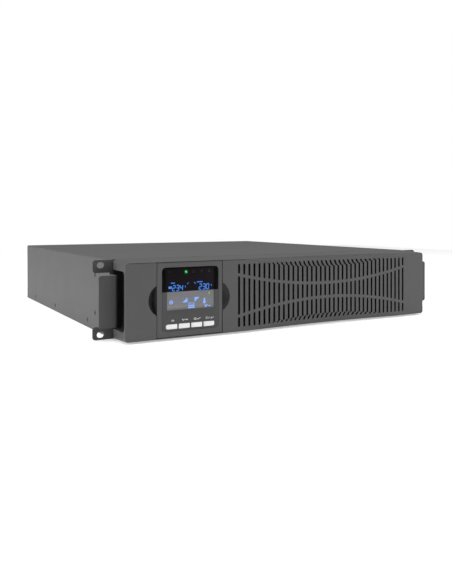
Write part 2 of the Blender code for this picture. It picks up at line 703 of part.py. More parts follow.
def fan_rotor(name, x):
    """A hub and its blades, with its origin on the shaft's axis."""
    centre = (x, REAR_FACE - SHEET - GAP - 14.0, MID_Z)
    rotor = cylinder(name, 16, "Y", centre, 15, BLACK_PLASTIC, 20)
    shape = bmesh.new()
    for number in range(FAN_BLADES):
        blade = bmesh.ops.create_cube(shape, size=MM)["verts"]
        bmesh.ops.scale(shape, vec=(22.5, 1.4, 16.0), verts=blade)
        bmesh.ops.translate(shape, vec=(26.0 * MM, 0, 0), verts=blade)
        angle = 2 * math.pi * number / FAN_BLADES
        bmesh.ops.rotate(shape, verts=blade, matrix=Matrix.Rotation(math.radians(BLADE_PITCH), 3, "X"))
        bmesh.ops.rotate(shape, verts=blade, matrix=Matrix.Rotation(angle, 3, "Z"))
    blades = place(name + "_blades", mesh_from(shape, name), centre, BLACK_PLASTIC, AXIS_TURN["Y"])
    return join(rotor, blades)


def build_fans():
    half = FAN_SIZE / 2
    rear = REAR_FACE - SHEET - GAP
    for number, x in enumerate(FAN_X, 1):
        body = rounded_rectangle((x - half, x + half), (MID_Z - half, MID_Z + half), 4)
        bore = circle(FAN_BORE, 32, (x, MID_Z))
        frame = prism(f"fan_frame_{number}", [body, bore], "Y", (rear - FAN_DEPTH, rear), BLACK_PLASTIC)
        strut_y = (rear - FAN_DEPTH, rear - FAN_DEPTH + 3)
        long_x, short_x = (x - 39.5, x + 39.5), (x - 2, x + 2)
        long_z, short_z = (MID_Z - 39.5, MID_Z + 39.5), (MID_Z - 2, MID_Z + 2)
        motor = cylinder(f"fan_seat_{number}", 15.5, "Y", (x, middle(strut_y), MID_Z), 3, BLACK_PLASTIC, 16)
        level = box(f"fan_level_{number}", long_x, strut_y, short_z, BLACK_PLASTIC)
        upright = box(f"fan_upright_{number}", short_x, strut_y, long_z, BLACK_PLASTIC)
        join(frame, motor, level, upright)
        holes = [circle(2.2, 8, (x + u, MID_Z + v)) for u in (-35.75, 35.75) for v in (-35.75, 35.75)]
        cut(frame, prism(f"fan_holes_{number}", holes, "Y", (rear - 40, rear + 5)))
        fan_rotor(f"fan_rotor_{number}", x)

        guard_y = (REAR_FACE + GAP, REAR_FACE + GAP + 2.0)
        rings = []
        for radius in (38.5, 25.0):
            rings += [circle(radius, 20, (x, MID_Z)), circle(radius - 2.0, 20, (x, MID_Z))]
        rings.append(circle(11, 12, (x, MID_Z)))
        guard = prism(f"fan_guard_{number}", rings, "Y", guard_y, ZINC)
        for diagonal in (1, -1):
            spoke = box(f"guard_spoke_{number}_{diagonal}", (-51, 51), guard_y, (-1.2, 1.2), ZINC)
            spoke.location.x = x * MM
            spoke.location.z = MID_Z * MM
            spoke.rotation_euler = (0, diagonal * math.pi / 4, 0)
            join(guard, spoke)


def build_rear_panel():
    panel_x = HALF_WIDTH - SHEET - 0.4
    front = REAR_FACE - 12
    plane = REAR_FACE - SHEET / 2
    path = bent_path([(front, 2.1), (plane, 2.1), (plane, CEILING - 0.9), (front, CEILING - 0.9)], 1.2, 2)
    panel = folded_sheet("rear_panel", path, "X", (-panel_x + 1.7, panel_x - 1.7), SHEET, CASE_PAINT)
    holes = [circle(37.5, 32, (x, MID_Z)) for x in FAN_X]
    windows = (
        (INLET, 14.4, 10.4), (PACK_SOCKET, 15.4, 10.4), (CARD_SLOT, 24, 14),
        (USB, 6.4, 6.0), (SERIAL, 9.6, 5.4), (STOP_BLOCK, 8.2, 5.0),
        ((OUTLETS_X, OUTLETS_Z[0]), 56.6, 12.6), ((OUTLETS_X, OUTLETS_Z[1]), 56.6, 12.6),
    )
    for (x, z), half_x, half_z in windows:
        left, right, low, high = x - half_x, x + half_x, z - half_z, z + half_z
        holes.append([(left, low), (right, low), (right, high), (left, high)])
    holes.append(circle(7.4, 16, BREAKER))
    cut(panel, prism("rear_openings", holes, "Y", (REAR_FACE - 4, REAR_FACE + 4)))


def socket_block(name, centre, half, flange, back, skin):
    """A flanged moulding that passes through the rear panel."""
    x, z = centre
    outer = REAR_FACE + GAP
    plate_x, plate_z = (x - flange[0], x + flange[0]), (z - flange[1], z + flange[1])
    plate = box(name, plate_x, (outer, outer + 2), plate_z, skin)
    body_x, body_z = (x - half[0], x + half[0]), (z - half[1], z + half[1])
    return join(plate, box(name + "_body", body_x, (back, outer + 1), body_z, skin))


def build_rear_fittings():
    face = REAR_FACE + GAP + 2
    x, z = INLET
    inlet = socket_block("mains_inlet", INLET, (14, 10), (25, 13.5), 444, BLACK_PLASTIC)
    cut(inlet, box("inlet_mouth", (x - 12.3, x + 12.3), (face - 16.5, face + 2), (z - 8.3, z + 8.3)))
    pins = []
    for u, v in ((-7, -2), (0, 2.5), (7, -2)):
        pins.append(((x + u - 1, x + u + 1), (face - 18, face - 5), (z + v - 2, z + v + 2)))
    join(inlet, boxes("inlet_pins", pins, BLACK_PLASTIC))

    for number, z in enumerate(OUTLETS_Z, 1):
        bank = socket_block(f"outlet_bank_{number}", (OUTLETS_X, z), (56, 12), (59, 15), 446, BLACK_PLASTIC)
        wells, tongues, slots = [], [], []
        for index in range(4):
            x = OUTLETS_X + (index - 1.5) * OUTLET_PITCH
            wells.append(((x - 12.6, x + 12.6), (face - 15, face + 2), (z - 8.8, z + 8.8)))
            tongues.append(((x - 10.4, x + 10.4), (face - 17, face - 1), (z - 6.6, z + 6.6)))
            for u, v in ((-7, -1.5), (0, 2.2), (7, -1.5)):
                slots.append(((x + u - 1.3, x + u + 1.3), (face - 14, face + 2), (z + v - 2.6, z + v + 2.6)))
        cut(bank, boxes(f"outlet_wells_{number}", wells))
        join(bank, boxes(f"outlet_tongues_{number}", tongues, BLACK_PLASTIC))
        cut(bank, boxes(f"outlet_slots_{number}", slots))

    x, z = PACK_SOCKET
    pack = socket_block("battery_pack_socket", PACK_SOCKET, (15, 10), (18.5, 12.5), 440, BLACK_PLASTIC)
    mouths = [((x + u - 5.6, x + u + 5.6), (face - 14, face + 2), (z - 7, z + 7)) for u in (-7.2, 7.2)]
    cut(pack, boxes("pack_socket_mouths", mouths))

    x, z = BREAKER
    body_y = (432, REAR_FACE - SHEET - GAP)
    breaker = box("breaker_body", (x - 7, x + 7), body_y, (z - 12, z + 12), BLACK_PLASTIC)
    bush = cylinder("breaker_bush", 7.0, "Y", (x, REAR_FACE + 0.5, z), 10, BLACK_PLASTIC, 16)
    nut = cylinder("breaker_nut", 10.0, "Y", (x, REAR_FACE + GAP + 1.2, z), 2.4, BLACK_PLASTIC, 6)
    join(breaker, bush, nut)
    cut(breaker, cylinder("breaker_bore", 4.5, "Y", (x, 470, z), 30, segments=16))
    cylinder("breaker_button", 4.0, "Y", (x, 467.75, z), 17.5, BLACK_PLASTIC, 16)

    x, z = CARD_SLOT
    knob_y = REAR_FACE + GAP + SHEET
    cover_x, cover_z = (x - 34, x + 34), (z - 17, z + 17)
    card_cover = box("card_slot_cover", cover_x, (REAR_FACE + GAP, knob_y), cover_z, CASE_PAINT)
    for label, side in (("left", -1), ("right", 1)):
        place_x = x + side * 29
        for target, tool_name in ((card_cover, "thumb_hole"), (bpy.data.objects["rear_panel"], "thumb_tap")):
            cut(target, cylinder(f"{tool_name}_{label}", 2.0, "Y", (place_x, 470, z), 8, segments=10))
        knob_length = REAR_EDGE + REAR_PROUD - knob_y - GAP
        knob_middle = (place_x, knob_y + GAP + knob_length / 2, z)
        knob = cylinder(f"thumb_screw_{label}", 4.2, "Y", knob_middle, knob_length, ZINC, 16)
        join(knob, cylinder(f"thumb_shank_{label}", 1.5, "Y", (place_x, 469, z), 8, ZINC, 8))

    x, z = USB
    usb = box("usb_port", (x - 6, x + 6), (454, REAR_FACE + 0.6), (z - 5.6, z + 5.6), ZINC)
    cut(usb, box("usb_mouth", (x - 4.3, x + 4.3), (461, 480), (z - 3.9, z + 3.9)))
    x, z = SERIAL
    plate_y = (REAR_FACE + GAP, REAR_FACE + GAP + 1)
    serial = box("serial_port", (x - 15.4, x + 15.4), plate_y, (z - 6.2, z + 6.2), ZINC)
    outline = [(x - 8.6, z - 4.6), (x + 8.6, z - 4.6), (x + 9.2, z + 4.6), (x - 9.2, z + 4.6)]
    join(serial, prism("serial_shell", [outline], "Y", (454, REAR_FACE + 6), ZINC))
    cut(serial, box("serial_mouth", (x - 7.6, x + 7.6), (468, 480), (z - 3.7, z + 3.7)))
    x, z = STOP_BLOCK
    stop = box("stop_terminal", (x - 7.8, x + 7.8), (456, REAR_FACE + 3), (z - 4.6, z + 4.6), GREEN_PLASTIC)
    ways = [circle(1.7, 8, (x + u, z - 0.6)) for u in (-3.8, 3.8)]
    cut(stop, prism("stop_ways", ways, "Y", (464, 480)))


build_case()
side_screws()
build_ear("rack_ear_left", -1)
build_ear("rack_ear_right", 1)
build_bezel()
build_display()
build_batteries()
build_electronics()
build_rear_panel()
build_fans()
build_rear_fittings()
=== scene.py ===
import math

import bmesh
import bpy
from mathutils import Matrix, Vector


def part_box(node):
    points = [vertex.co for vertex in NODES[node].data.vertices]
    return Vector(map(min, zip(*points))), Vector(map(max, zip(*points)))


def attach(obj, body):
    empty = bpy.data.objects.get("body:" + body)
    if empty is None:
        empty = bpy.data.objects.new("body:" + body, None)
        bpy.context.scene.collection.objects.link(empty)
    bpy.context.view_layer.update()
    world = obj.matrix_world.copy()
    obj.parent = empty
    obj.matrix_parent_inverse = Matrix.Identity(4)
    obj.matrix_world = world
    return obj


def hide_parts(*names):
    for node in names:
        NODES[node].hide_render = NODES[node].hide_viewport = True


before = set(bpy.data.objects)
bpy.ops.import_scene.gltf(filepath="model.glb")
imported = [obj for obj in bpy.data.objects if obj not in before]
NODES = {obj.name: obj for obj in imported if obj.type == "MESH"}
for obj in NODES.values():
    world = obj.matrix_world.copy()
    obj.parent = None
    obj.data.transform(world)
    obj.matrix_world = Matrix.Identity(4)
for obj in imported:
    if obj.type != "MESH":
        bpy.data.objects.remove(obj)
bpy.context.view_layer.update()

# Lengths are in millimetres. X runs to the right, Z up, and a depth runs back from the bezel's face.
MM = 0.001
HOUSING_LOW, HOUSING_HIGH = (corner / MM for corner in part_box("display_housing"))
FACE = HOUSING_LOW.y


def depth_box(name):
    """A node's (low, high) ranges across, in depth and in height."""
    low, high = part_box(name)
    return tuple((low[k] / MM - shift, high[k] / MM - shift) for k, shift in ((0, 0), (1, FACE), (2, 0)))


def middle(span):
    return (span[0] + span[1]) / 2


# ---------------------------------------------------------------- materials


class Graph:
    """A material's nodes."""

    def __init__(self, name):
        self.material = bpy.data.materials.new(name)
        self.material.use_nodes = True
        self.tree = self.material.node_tree
        self.shader = self.tree.nodes["Principled BSDF"]
        self.place = self.add("ShaderNodeTexCoord").outputs["Object"]

    def add(self, kind, inputs=(), **settings):
        made = self.tree.nodes.new(kind)
        for key, value in settings.items():
            setattr(made, key, value)
        for key, value in dict(inputs).items():
            self.feed(made.inputs[key], value)
        return made

    def feed(self, socket, value):
        if isinstance(value, bpy.types.NodeSocket):
            self.tree.links.new(value, socket)
        else:
            socket.default_value = value

    def math(self, operation, *values):
        made = self.add("ShaderNodeMath", operation=operation)
        for socket, value in zip(made.inputs, values):
            self.feed(socket, value)
        return made.outputs[0]

    def noise(self, size, detail=2.0, stretch=(1, 1, 1)):
        spread = self.add("ShaderNodeMapping", {"Vector": self.place, "Scale": stretch})
        settings = {"Vector": spread.outputs[0], "Scale": 1 / (size * MM), "Detail": detail}
        return self.add("ShaderNodeTexNoise", settings).outputs["Fac"]

    def ramp(self, value, low, high, to_low=0.0, to_high=1.0):
        settings = {"Value": value, "From Min": low, "From Max": high, "To Min": to_low, "To Max": to_high}
        return self.add("ShaderNodeMapRange", settings).outputs[0]

    def scaled(self, colour, factor):
        made = self.add("ShaderNodeVectorMath", operation="SCALE")
        self.feed(made.inputs[0], colour)
        self.feed(made.inputs["Scale"], factor)
        return made.outputs[0]

    def mix(self, factor, first, second):
        made = self.add("ShaderNodeMix", data_type="RGBA")
        for socket, value in ((made.inputs[0], factor), (made.inputs[6], first), (made.inputs[7], second)):
            if isinstance(value, tuple):
                value = (*value, 1)
            self.feed(socket, value)
        return made.outputs[2]


def surface(
    name, colour, roughness, metallic=0.0, grain=0.10, size=0.5, relief=0.02, blotch=0.08, stretch=(1, 1, 1),
    wear=0.0, rounding=0.0, specular=0.5, coat=0.0, zones=None,
):
    """A finish with grain, blotches, uneven roughness, a fine relief and, if asked, rubbed edges."""
    graph = Graph(name)
    shader = graph.shader
    fine = graph.noise(size, 2.0, stretch)
    broad = graph.noise(38.0, 3.0)
    grain_factor = graph.ramp(fine, 0.25, 0.75, 1 - grain, 1 + grain)
    factor = graph.math("MULTIPLY", grain_factor, graph.ramp(broad, 0.25, 0.75, 1 - blotch, 1 + blotch))
    base = colour if zones is None else zones(graph)
    paint = graph.scaled(base, factor)
    soft_normal = None
    if wear or rounding:
        soft_normal = graph.add("ShaderNodeBevel", {"Radius": max(rounding, 0.35) * MM}, samples=4).outputs[0]
    if wear:
        flat_normal = graph.add("ShaderNodeNewGeometry").outputs["Normal"]
        agreement = graph.add("ShaderNodeVectorMath", operation="DOT_PRODUCT")
        graph.feed(agreement.inputs[0], soft_normal)
        graph.feed(agreement.inputs[1], flat_normal)
        edge = graph.ramp(agreement.outputs["Value"], 0.985, 0.80)
        rubbed = graph.math("MULTIPLY", edge, graph.ramp(graph.noise(6.0, 4.0), 0.45, 0.65))
        lighter = graph.scaled(base, 1 + 1.6 * wear)
        paint = graph.mix(graph.math("MULTIPLY", rubbed, wear), paint, lighter)
    graph.feed(shader.inputs["Base Color"], paint)
    uneven = graph.math("MULTIPLY_ADD", graph.math("SUBTRACT", broad, 0.5), 0.16, roughness)
    uneven = graph.math("MULTIPLY_ADD", graph.math("SUBTRACT", fine, 0.5), 0.10, uneven)
    graph.feed(shader.inputs["Roughness"], uneven)
    bump = graph.add("ShaderNodeBump", {"Height": fine, "Distance": relief * MM, "Strength": 1.0})
    if rounding:
        graph.feed(bump.inputs["Normal"], soft_normal)
    graph.feed(shader.inputs["Normal"], bump.outputs[0])
    shader.inputs["Metallic"].default_value = metallic
    shader.inputs["Specular IOR Level"].default_value = specular
    shader.inputs["Coat Weight"].default_value = coat
    return graph.material


OVERLAY_SPLIT = 52.8  # height where the overlay turns from black to its grey painted reflection, and the display from dark to its pale painted reflection


def overlay_reflection_zones(graph):
    """Black above a line, grey below it: the grey is a painted reflection."""
    height = graph.add("ShaderNodeSeparateXYZ", {"Vector": graph.place}).outputs["Z"]
    above = graph.math("GREATER_THAN", height, OVERLAY_SPLIT * MM)
    # Below the line the overlay takes the module's grey as a painted reflection.
    return graph.mix(above, PLATE_TONE, (0.0012, 0.0012, 0.0012))


def lens_reflection_zones(graph):
    """The display behind its window: dark above the line; below it a painted reflection, paler toward its
    lower left, with a painted shadow along its lower edge.
    """
    parts = graph.add("ShaderNodeSeparateXYZ", {"Vector": graph.place})
    height, across = parts.outputs["Z"], parts.outputs["X"]
    above = graph.math("GREATER_THAN", height, OVERLAY_SPLIT * MM)
    # Painted reflection: the grey below the line grows paler toward the bottom and toward the lower left.
    fall = graph.ramp(height, 33 * MM, OVERLAY_SPLIT * MM, 1.0, 0.0)
    left = graph.ramp(across, -112 * MM, -171 * MM, 0.0, 1.0)
    lower_left = graph.math("MULTIPLY", fall, left)
    pale = graph.math("MULTIPLY_ADD", lower_left, 0.5, graph.math("MULTIPLY", fall, 0.25))
    lower = graph.mix(pale, LENS_REFLECTION, LENS_BRIGHTEST_REFLECTION)
    # Painted shadow: a darker strip along the window's lower edge.
    edge = graph.ramp(height, 35.2 * MM, 34.6 * MM, 0.0, 0.35)
    lower = graph.mix(edge, lower, PLATE_TONE)
    return graph.mix(above, lower, (0.0062, 0.0042, 0.0064))


PLATE_TONE = (0.072, 0.072, 0.073)
# Tones of the painted reflection on the display's lower part.
LENS_REFLECTION = (0.165, 0.165, 0.166)
LENS_BRIGHTEST_REFLECTION = (0.235, 0.237, 0.242)

CASE = surface("powder_coat", (0.082, 0.082, 0.083), 0.55, grain=0.16, size=0.7, relief=0.035, blotch=0.05,
               wear=0.35, specular=0.3)
# The ears take a darker copy of the case's powder coat: painted shade on the front-facing ears.
EAR_SHADED_COAT = surface("ear_powder_coat_painted_shade", (0.060, 0.060, 0.061), 0.5, grain=0.14, size=0.6, relief=0.03, blotch=0.07,
              wear=0.5, specular=0.3)
BEZEL = surface("textured_plastic", (0.074, 0.074, 0.075), 0.5, grain=0.08, size=0.45, relief=0.015,
                blotch=0.04, wear=0.3, rounding=0.45, specular=0.3)
PLATE = surface("module_plastic", PLATE_TONE, 0.45, grain=0.06, size=0.45, relief=0.012, blotch=0.03,
                wear=0.3, rounding=0.3, specular=0.3)
# The overlay's grey lower part is a painted reflection.
OVERLAY = surface("overlay_with_painted_reflection", PLATE_TONE, 0.22, grain=0.03, size=0.8, relief=0.002, blotch=0.03,
                  specular=0.06, zones=overlay_reflection_zones)
# The display window's pale lower part is a painted reflection, with a painted shadow along its lower edge.
LENS = surface("display_window", PLATE_TONE, 0.16, grain=0.04, size=2.5, relief=0.002, blotch=0.06,
               specular=0.05, zones=lens_reflection_zones)
WHITE = surface("white_plastic", (0.78, 0.78, 0.77), 0.32, grain=0.02, size=0.5, relief=0.006, blotch=0.03,
                wear=0.05, specular=0.4)
BLACK = surface("black_plastic", (0.018, 0.018, 0.019), 0.42, grain=0.12, size=0.5, relief=0.012, wear=0.4)
INNER = surface("galvanised_steel", (0.34, 0.35, 0.36), 0.42, 0.8, grain=0.10, size=9.0, relief=0.006,
                blotch=0.16, wear=0.2)
ZINC = surface("zinc_plate", (0.52, 0.53, 0.54), 0.30, 1.0, grain=0.07, size=1.2, relief=0.006, blotch=0.10,
               wear=0.3)
BRASS = surface("contact_metal", (0.58, 0.52, 0.40), 0.26, 1.0, grain=0.06, size=0.9, relief=0.004,
                blotch=0.10)
DARK_SCREW = surface("blackened_screw", (0.008, 0.008, 0.008), 0.5, 0.0, grain=0.15, size=0.5, relief=0.008,
                     wear=0.6)
BOARD = surface("circuit_board", (0.012, 0.085, 0.038), 0.36, grain=0.25, size=2.2, relief=0.03, blotch=0.12,
                coat=0.2)
GREEN = surface("terminal_plastic", (0.03, 0.22, 0.09), 0.40, grain=0.06, size=0.5, relief=0.01, wear=0.2)
BATTERY = surface("battery_case", (0.058, 0.060, 0.066), 0.55, grain=0.12, size=0.6, relief=0.03, blotch=0.10,
                  wear=0.3)
ALUMINIUM = surface("extruded_aluminium", (0.60, 0.61, 0.63), 0.34, 1.0, grain=0.10, size=0.6, relief=0.01,
                    blotch=0.08, stretch=(1, 0.03, 1), wear=0.2)
COPPER = surface("enamelled_copper", (0.48, 0.17, 0.055), 0.28, 0.9, grain=0.30, size=1.6, relief=0.25,
                 blotch=0.12, stretch=(0.1, 1, 1), coat=0.3)
SLEEVE = surface("capacitor_sleeve", (0.02, 0.035, 0.11), 0.3, grain=0.06, size=0.9, relief=0.01, blotch=0.10)
LAMINATIONS = surface("laminations", (0.10, 0.10, 0.11), 0.45, 0.8, grain=0.35, size=0.9, relief=0.12,
                      blotch=0.10, stretch=(1, 0.05, 0.05))
# Near-black painted shade for the bezel's slot walls, module pocket walls and the steps behind the ears.
SHADOW = surface("painted_recess_shade", (0.004, 0.004, 0.004), 0.8, grain=0.1, size=0.5, relief=0.01, specular=0.2)


def lamp(name, colour, strength, reach=None, centre=None):
    """A lit mark, uneven like a printed light guide. With a reach it fades outward from its centre."""
    graph = Graph(name)
    fine = graph.noise(0.6)
    power = graph.ramp(fine, 0.3, 0.7, strength * 0.9, strength * 1.1)
    if reach:
        away = graph.add("ShaderNodeVectorMath", operation="DISTANCE")
        graph.feed(away.inputs[0], graph.place)
        graph.feed(away.inputs[1], centre)
        near = graph.ramp(away.outputs["Value"], reach * MM, 0.0)
        power = graph.math("MULTIPLY", power, graph.math("POWER", near, 2.2))
    dull = tuple(0.02 * part for part in colour)
    graph.feed(graph.shader.inputs["Base Color"], graph.scaled(dull, graph.ramp(fine, 0.3, 0.7, 0.9, 1.1)))
    graph.feed(graph.shader.inputs["Emission Strength"], power)
    graph.feed(graph.shader.inputs["Roughness"], graph.ramp(fine, 0.3, 0.7, 0.4, 0.5))
    graph.shader.inputs["Emission Color"].default_value = (*colour, 1)
    graph.shader.inputs["Specular IOR Level"].default_value = 0.05
    return graph.material


def ink(name, colour):
    return surface(name, colour, 0.4, grain=0.05, size=0.4, relief=0.002, blotch=0.04, specular=0.2)


# ---------------------------------------------------------------- shapes

UPRIGHT = Matrix.Rotation(math.pi / 2, 4, "X")
AXIS_TURN = {"X": Matrix.Rotation(math.pi / 2, 4, "Z") @ UPRIGHT, "Y": UPRIGHT, "Z": Matrix.Identity(4)}


def show(name, mesh, skin, smooth=38):
    made = bpy.data.objects.new(name, mesh)
    bpy.context.scene.collection.objects.link(made)
    if skin is not None:
        mesh.materials.clear()
        mesh.materials.append(skin)
    mesh.shade_smooth()
    mesh.set_sharp_from_angle(angle=math.radians(smooth))
    return made


def emit(name, shape, skin=None, smooth=38):
    """A mesh drawn in millimetres with depths, put in the row frame."""
    bmesh.ops.recalc_face_normals(shape, faces=shape.faces)
    for corner in shape.verts:
        corner.co = (corner.co.x * MM, (corner.co.y + FACE) * MM, corner.co.z * MM)
    mesh = bpy.data.meshes.new(name)
    shape.to_mesh(mesh)
    shape.free()
    return show(name, mesh, skin, smooth)


def add_block(shape, x, y, z, radius=0.0, segments=2):
    """A box from its (low, high) ranges, with rounded edges, added to a mesh."""
    made = bmesh.ops.create_cube(shape, size=1)["verts"]
    for corner in made:
        corner.co = [middle(span) + part * (span[1] - span[0]) for span, part in zip((x, y, z), corner.co)]
    if radius:
        edges = list({edge for corner in made for edge in corner.link_edges})
        bmesh.ops.bevel(shape, geom=edges, offset=radius, segments=segments, affect="EDGES", profile=0.5)


def blocks(name, ranges, radius=0.0, skin=None, segments=2):
    shape = bmesh.new()
    for x, y, z in ranges:
        add_block(shape, x, y, z, radius, segments)
    return emit(name, shape, skin)


def rounded(corners, radii, steps=4):
    """A closed outline with a curve at each corner."""
    if not isinstance(radii, (list, tuple)):
        radii = [radii] * len(corners)
    points = []
    for k, corner in enumerate(corners):
        before, after = Vector(corners[k - 1]), Vector(corners[(k + 1) % len(corners)])
        here = Vector(corner)
        start = here + (before - here).normalized() * radii[k]
        end = here + (after - here).normalized() * radii[k]
        if radii[k] < 0.001:
            points.append(tuple(here))
            continue
        for step in range(steps + 1):
            t = step / steps
            points.append(tuple(start * (1 - t) ** 2 + here * 2 * t * (1 - t) + end * t**2))
    return points


def rectangle(x, z, radii=0.0, steps=4):
    return rounded([(x[0], z[0]), (x[1], z[0]), (x[1], z[1]), (x[0], z[1])], radii, steps)


def circle(radius, centre=(0, 0), segments=32):
    turns = [2 * math.pi * k / segments for k in range(segments)]
    return [(centre[0] + radius * math.cos(a), centre[1] + radius * math.sin(a)) for a in turns]


def plate(name, outlines, axis, span, skin=None, edge=0.0, smooth=38):
    """Flat outlines extruded along an axis, with rounded edges. Inner outlines are holes."""
    curve = bpy.data.curves.new(name, "CURVE")
    curve.dimensions = "2D"
    curve.fill_mode = "BOTH"
    curve.extrude = ((span[1] - span[0]) / 2 - edge) * MM
    curve.bevel_depth = edge * MM
    curve.bevel_resolution = 1
    curve.offset = -edge * MM
    for outline in outlines:
        spline = curve.splines.new("POLY")
        spline.points.add(len(outline) - 1)
        for point, (u, v) in zip(spline.points, outline):
            point.co = (u * MM, v * MM, 0, 1)
        spline.use_cyclic_u = True
    drawn = bpy.data.objects.new(name + "_outline", curve)
    bpy.context.scene.collection.objects.link(drawn)
    at = {"X": (middle(span), FACE, 0), "Y": (0, middle(span) + FACE, 0), "Z": (0, FACE, middle(span))}[axis]
    place = Matrix.Translation([part * MM for part in at]) @ AXIS_TURN[axis]
    bpy.context.view_layer.update()
    mesh = bpy.data.meshes.new_from_object(drawn.evaluated_get(bpy.context.evaluated_depsgraph_get()))
    bpy.data.objects.remove(drawn, do_unlink=True)
    mesh.transform(place)
    shape = bmesh.new()
    shape.from_mesh(mesh)
    bmesh.ops.remove_doubles(shape, verts=shape.verts, dist=0.002 * MM)
    bmesh.ops.recalc_face_normals(shape, faces=shape.faces)
    shape.to_mesh(mesh)
    shape.free()
    return show(name, mesh, skin, smooth)


def lathe(name, profile, axis, centre, skin=None, segments=32, flutes=0.0):
    """A (radius, distance) profile turned about an axis. Flutes push in every other segment of wide rings."""
    shape = bmesh.new()
    widest = max(radius for radius, _ in profile)
    order = {"X": (2, 0, 1), "Y": (0, 2, 1), "Z": (0, 1, 2)}[axis]
    rings = []
    for radius, along in profile:
        ring = []
        for k in range(segments if radius > 0 else 1):
            angle = 2 * math.pi * k / segments
            reach = radius - (flutes if k % 2 and radius > widest - 0.05 else 0)
            local = (reach * math.cos(angle), reach * math.sin(angle), along)
            ring.append(shape.verts.new([centre[i] + local[order[i]] for i in range(3)]))
        rings.append(ring)
    for near, far in zip(rings, rings[1:]):
        for k in range(segments):
            corners = []
            for ring, index in ((near, k), (near, k + 1), (far, k + 1), (far, k)):
                corner = ring[index % len(ring)]
                if corner not in corners:
                    corners.append(corner)
            if len(corners) > 2:
                shape.faces.new(corners)
    return emit(name, shape, skin)


def rods(name, paths, radius, skin=None, cyclic=False, resolution=3):
    """Round wire along paths of (x, depth, z) points."""
    curve = bpy.data.curves.new(name, "CURVE")
    curve.dimensions = "3D"
    curve.bevel_depth = radius * MM
    curve.bevel_resolution = resolution
    curve.use_fill_caps = True
    for path in paths:
        spline = curve.splines.new("POLY")
        spline.points.add(len(path) - 1)
        for point, (x, y, z) in zip(spline.points, path):
            point.co = (x * MM, (y + FACE) * MM, z * MM, 1)
        spline.use_cyclic_u = cyclic
    drawn = bpy.data.objects.new(name + "_path", curve)
    bpy.context.scene.collection.objects.link(drawn)
    bpy.context.view_layer.update()
    mesh = bpy.data.meshes.new_from_object(drawn.evaluated_get(bpy.context.evaluated_depsgraph_get()))
    bpy.data.objects.remove(drawn, do_unlink=True)
    shape = bmesh.new()
    shape.from_mesh(mesh)
    bmesh.ops.remove_doubles(shape, verts=shape.verts, dist=0.002 * MM)
    bmesh.ops.recalc_face_normals(shape, faces=shape.faces)
    shape.to_mesh(mesh)
    shape.free()
    return show(name, mesh, skin)


def bake(target, smooth=38):
    """Applies an object's modifiers."""
    bpy.context.view_layer.update()
    skins = list(target.data.materials)
    mesh = bpy.data.meshes.new_from_object(target.evaluated_get(bpy.context.evaluated_depsgraph_get()))
    target.modifiers.clear()
    target.data = mesh
    mesh.materials.clear()
    for skin in skins:
        mesh.materials.append(skin)
    mesh.shade_smooth()
    mesh.set_sharp_from_angle(angle=math.radians(smooth))
    return target


def combine(target, operation, tools, smooth=38):
    for tool in tools:
        step = target.modifiers.new(tool.name, "BOOLEAN")
        step.operation = operation
        step.object = tool
    bake(target, smooth)
    for tool in tools:
        bpy.data.objects.remove(tool, do_unlink=True)
    return target


def cut(target, *tools):
    return combine(target, "DIFFERENCE", tools)


def join(target, *tools):
    return combine(target, "UNION", tools)


def gather(name, parts):
    """Loose parts of one finish, as one object."""
    shape = bmesh.new()
    for part in parts:
        shape.from_mesh(part.data)
    mesh = bpy.data.meshes.new(name)
    shape.to_mesh(mesh)
    shape.free()
    skin = parts[0].data.materials[0]
    for part in parts:
        bpy.data.objects.remove(part, do_unlink=True)
    return show(name, mesh, skin)


def fit(piece, body, slot, *stands_for):
    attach(piece, body)
    if stands_for:
        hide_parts(*stands_for)
    return piece


def crisp(target):
    """Even shading on large faces."""
    weighted = target.modifiers.new("even_shading", "WEIGHTED_NORMAL")
    weighted.keep_sharp = True
    return target


# ---------------------------------------------------------------- bezel

HALF_WIDTH = 219.0
HEIGHT = 88.0
MID_Z = 44.0
BEZEL_DEPTH = 40.5
FACE_HALF_WIDTH = 218.35
FACE_HALF_HEIGHT = 42.07
FACE_CORNER = 3.5
FACE_EDGE = 0.9
BEZEL_WALL = 2.6
SLOT_COUNT = 38
SLOT_PITCH = 7.0
SLOT_WIDTH = 2.7
SLOT_HALF_HEIGHT = 36.6
GRILLE_X = 50.4
BAR_HALF_SPAN = 129.0
BAR_WAIST = 8.8
BAR_RISE = 15.0
BAR_HEIGHT = 3.5
SCOOP_HALF_SPAN = 124.0
SCOOP_HEIGHT = 12.8
SCOOP_DEPTH = 8.5
SCOOP_SHIFT = 0.05
SCOOP_FREE_HALF = 28.5  # half the height of the face between the two scoops
NEAR = 0.1  # how far off its place a face may be and still be told by it
DISPLAY_X = (HOUSING_LOW.x + HOUSING_HIGH.x) / 2
DISPLAY_Z = (HOUSING_LOW.z + HOUSING_HIGH.z) / 2
DISPLAY_HALF = (HOUSING_HIGH.x - HOUSING_LOW.x) / 2
DISPLAY_HALF_HEIGHT = (HOUSING_HIGH.z - HOUSING_LOW.z) / 2
CLEARANCE = 0.5
DISPLAY_DEPTH = 22.0
OVERLAY_X = -141.4
OVERLAY_HALF = 34.8
MOON_RADIUS = 18.6
MOON_INSET = 8.6
MOON_DEPTH = 15.0
EAR_INNER = 215.7
EAR_PLANE = 38.7
EAR_SHADOW_GAP = 1.8
GRIP_DEPTH = 12.0
GRIP_Z = (12.0, 77.0)
CLIPS_X = (-112.7, 79.8)
SIDES = (("left", -1), ("right", 1))


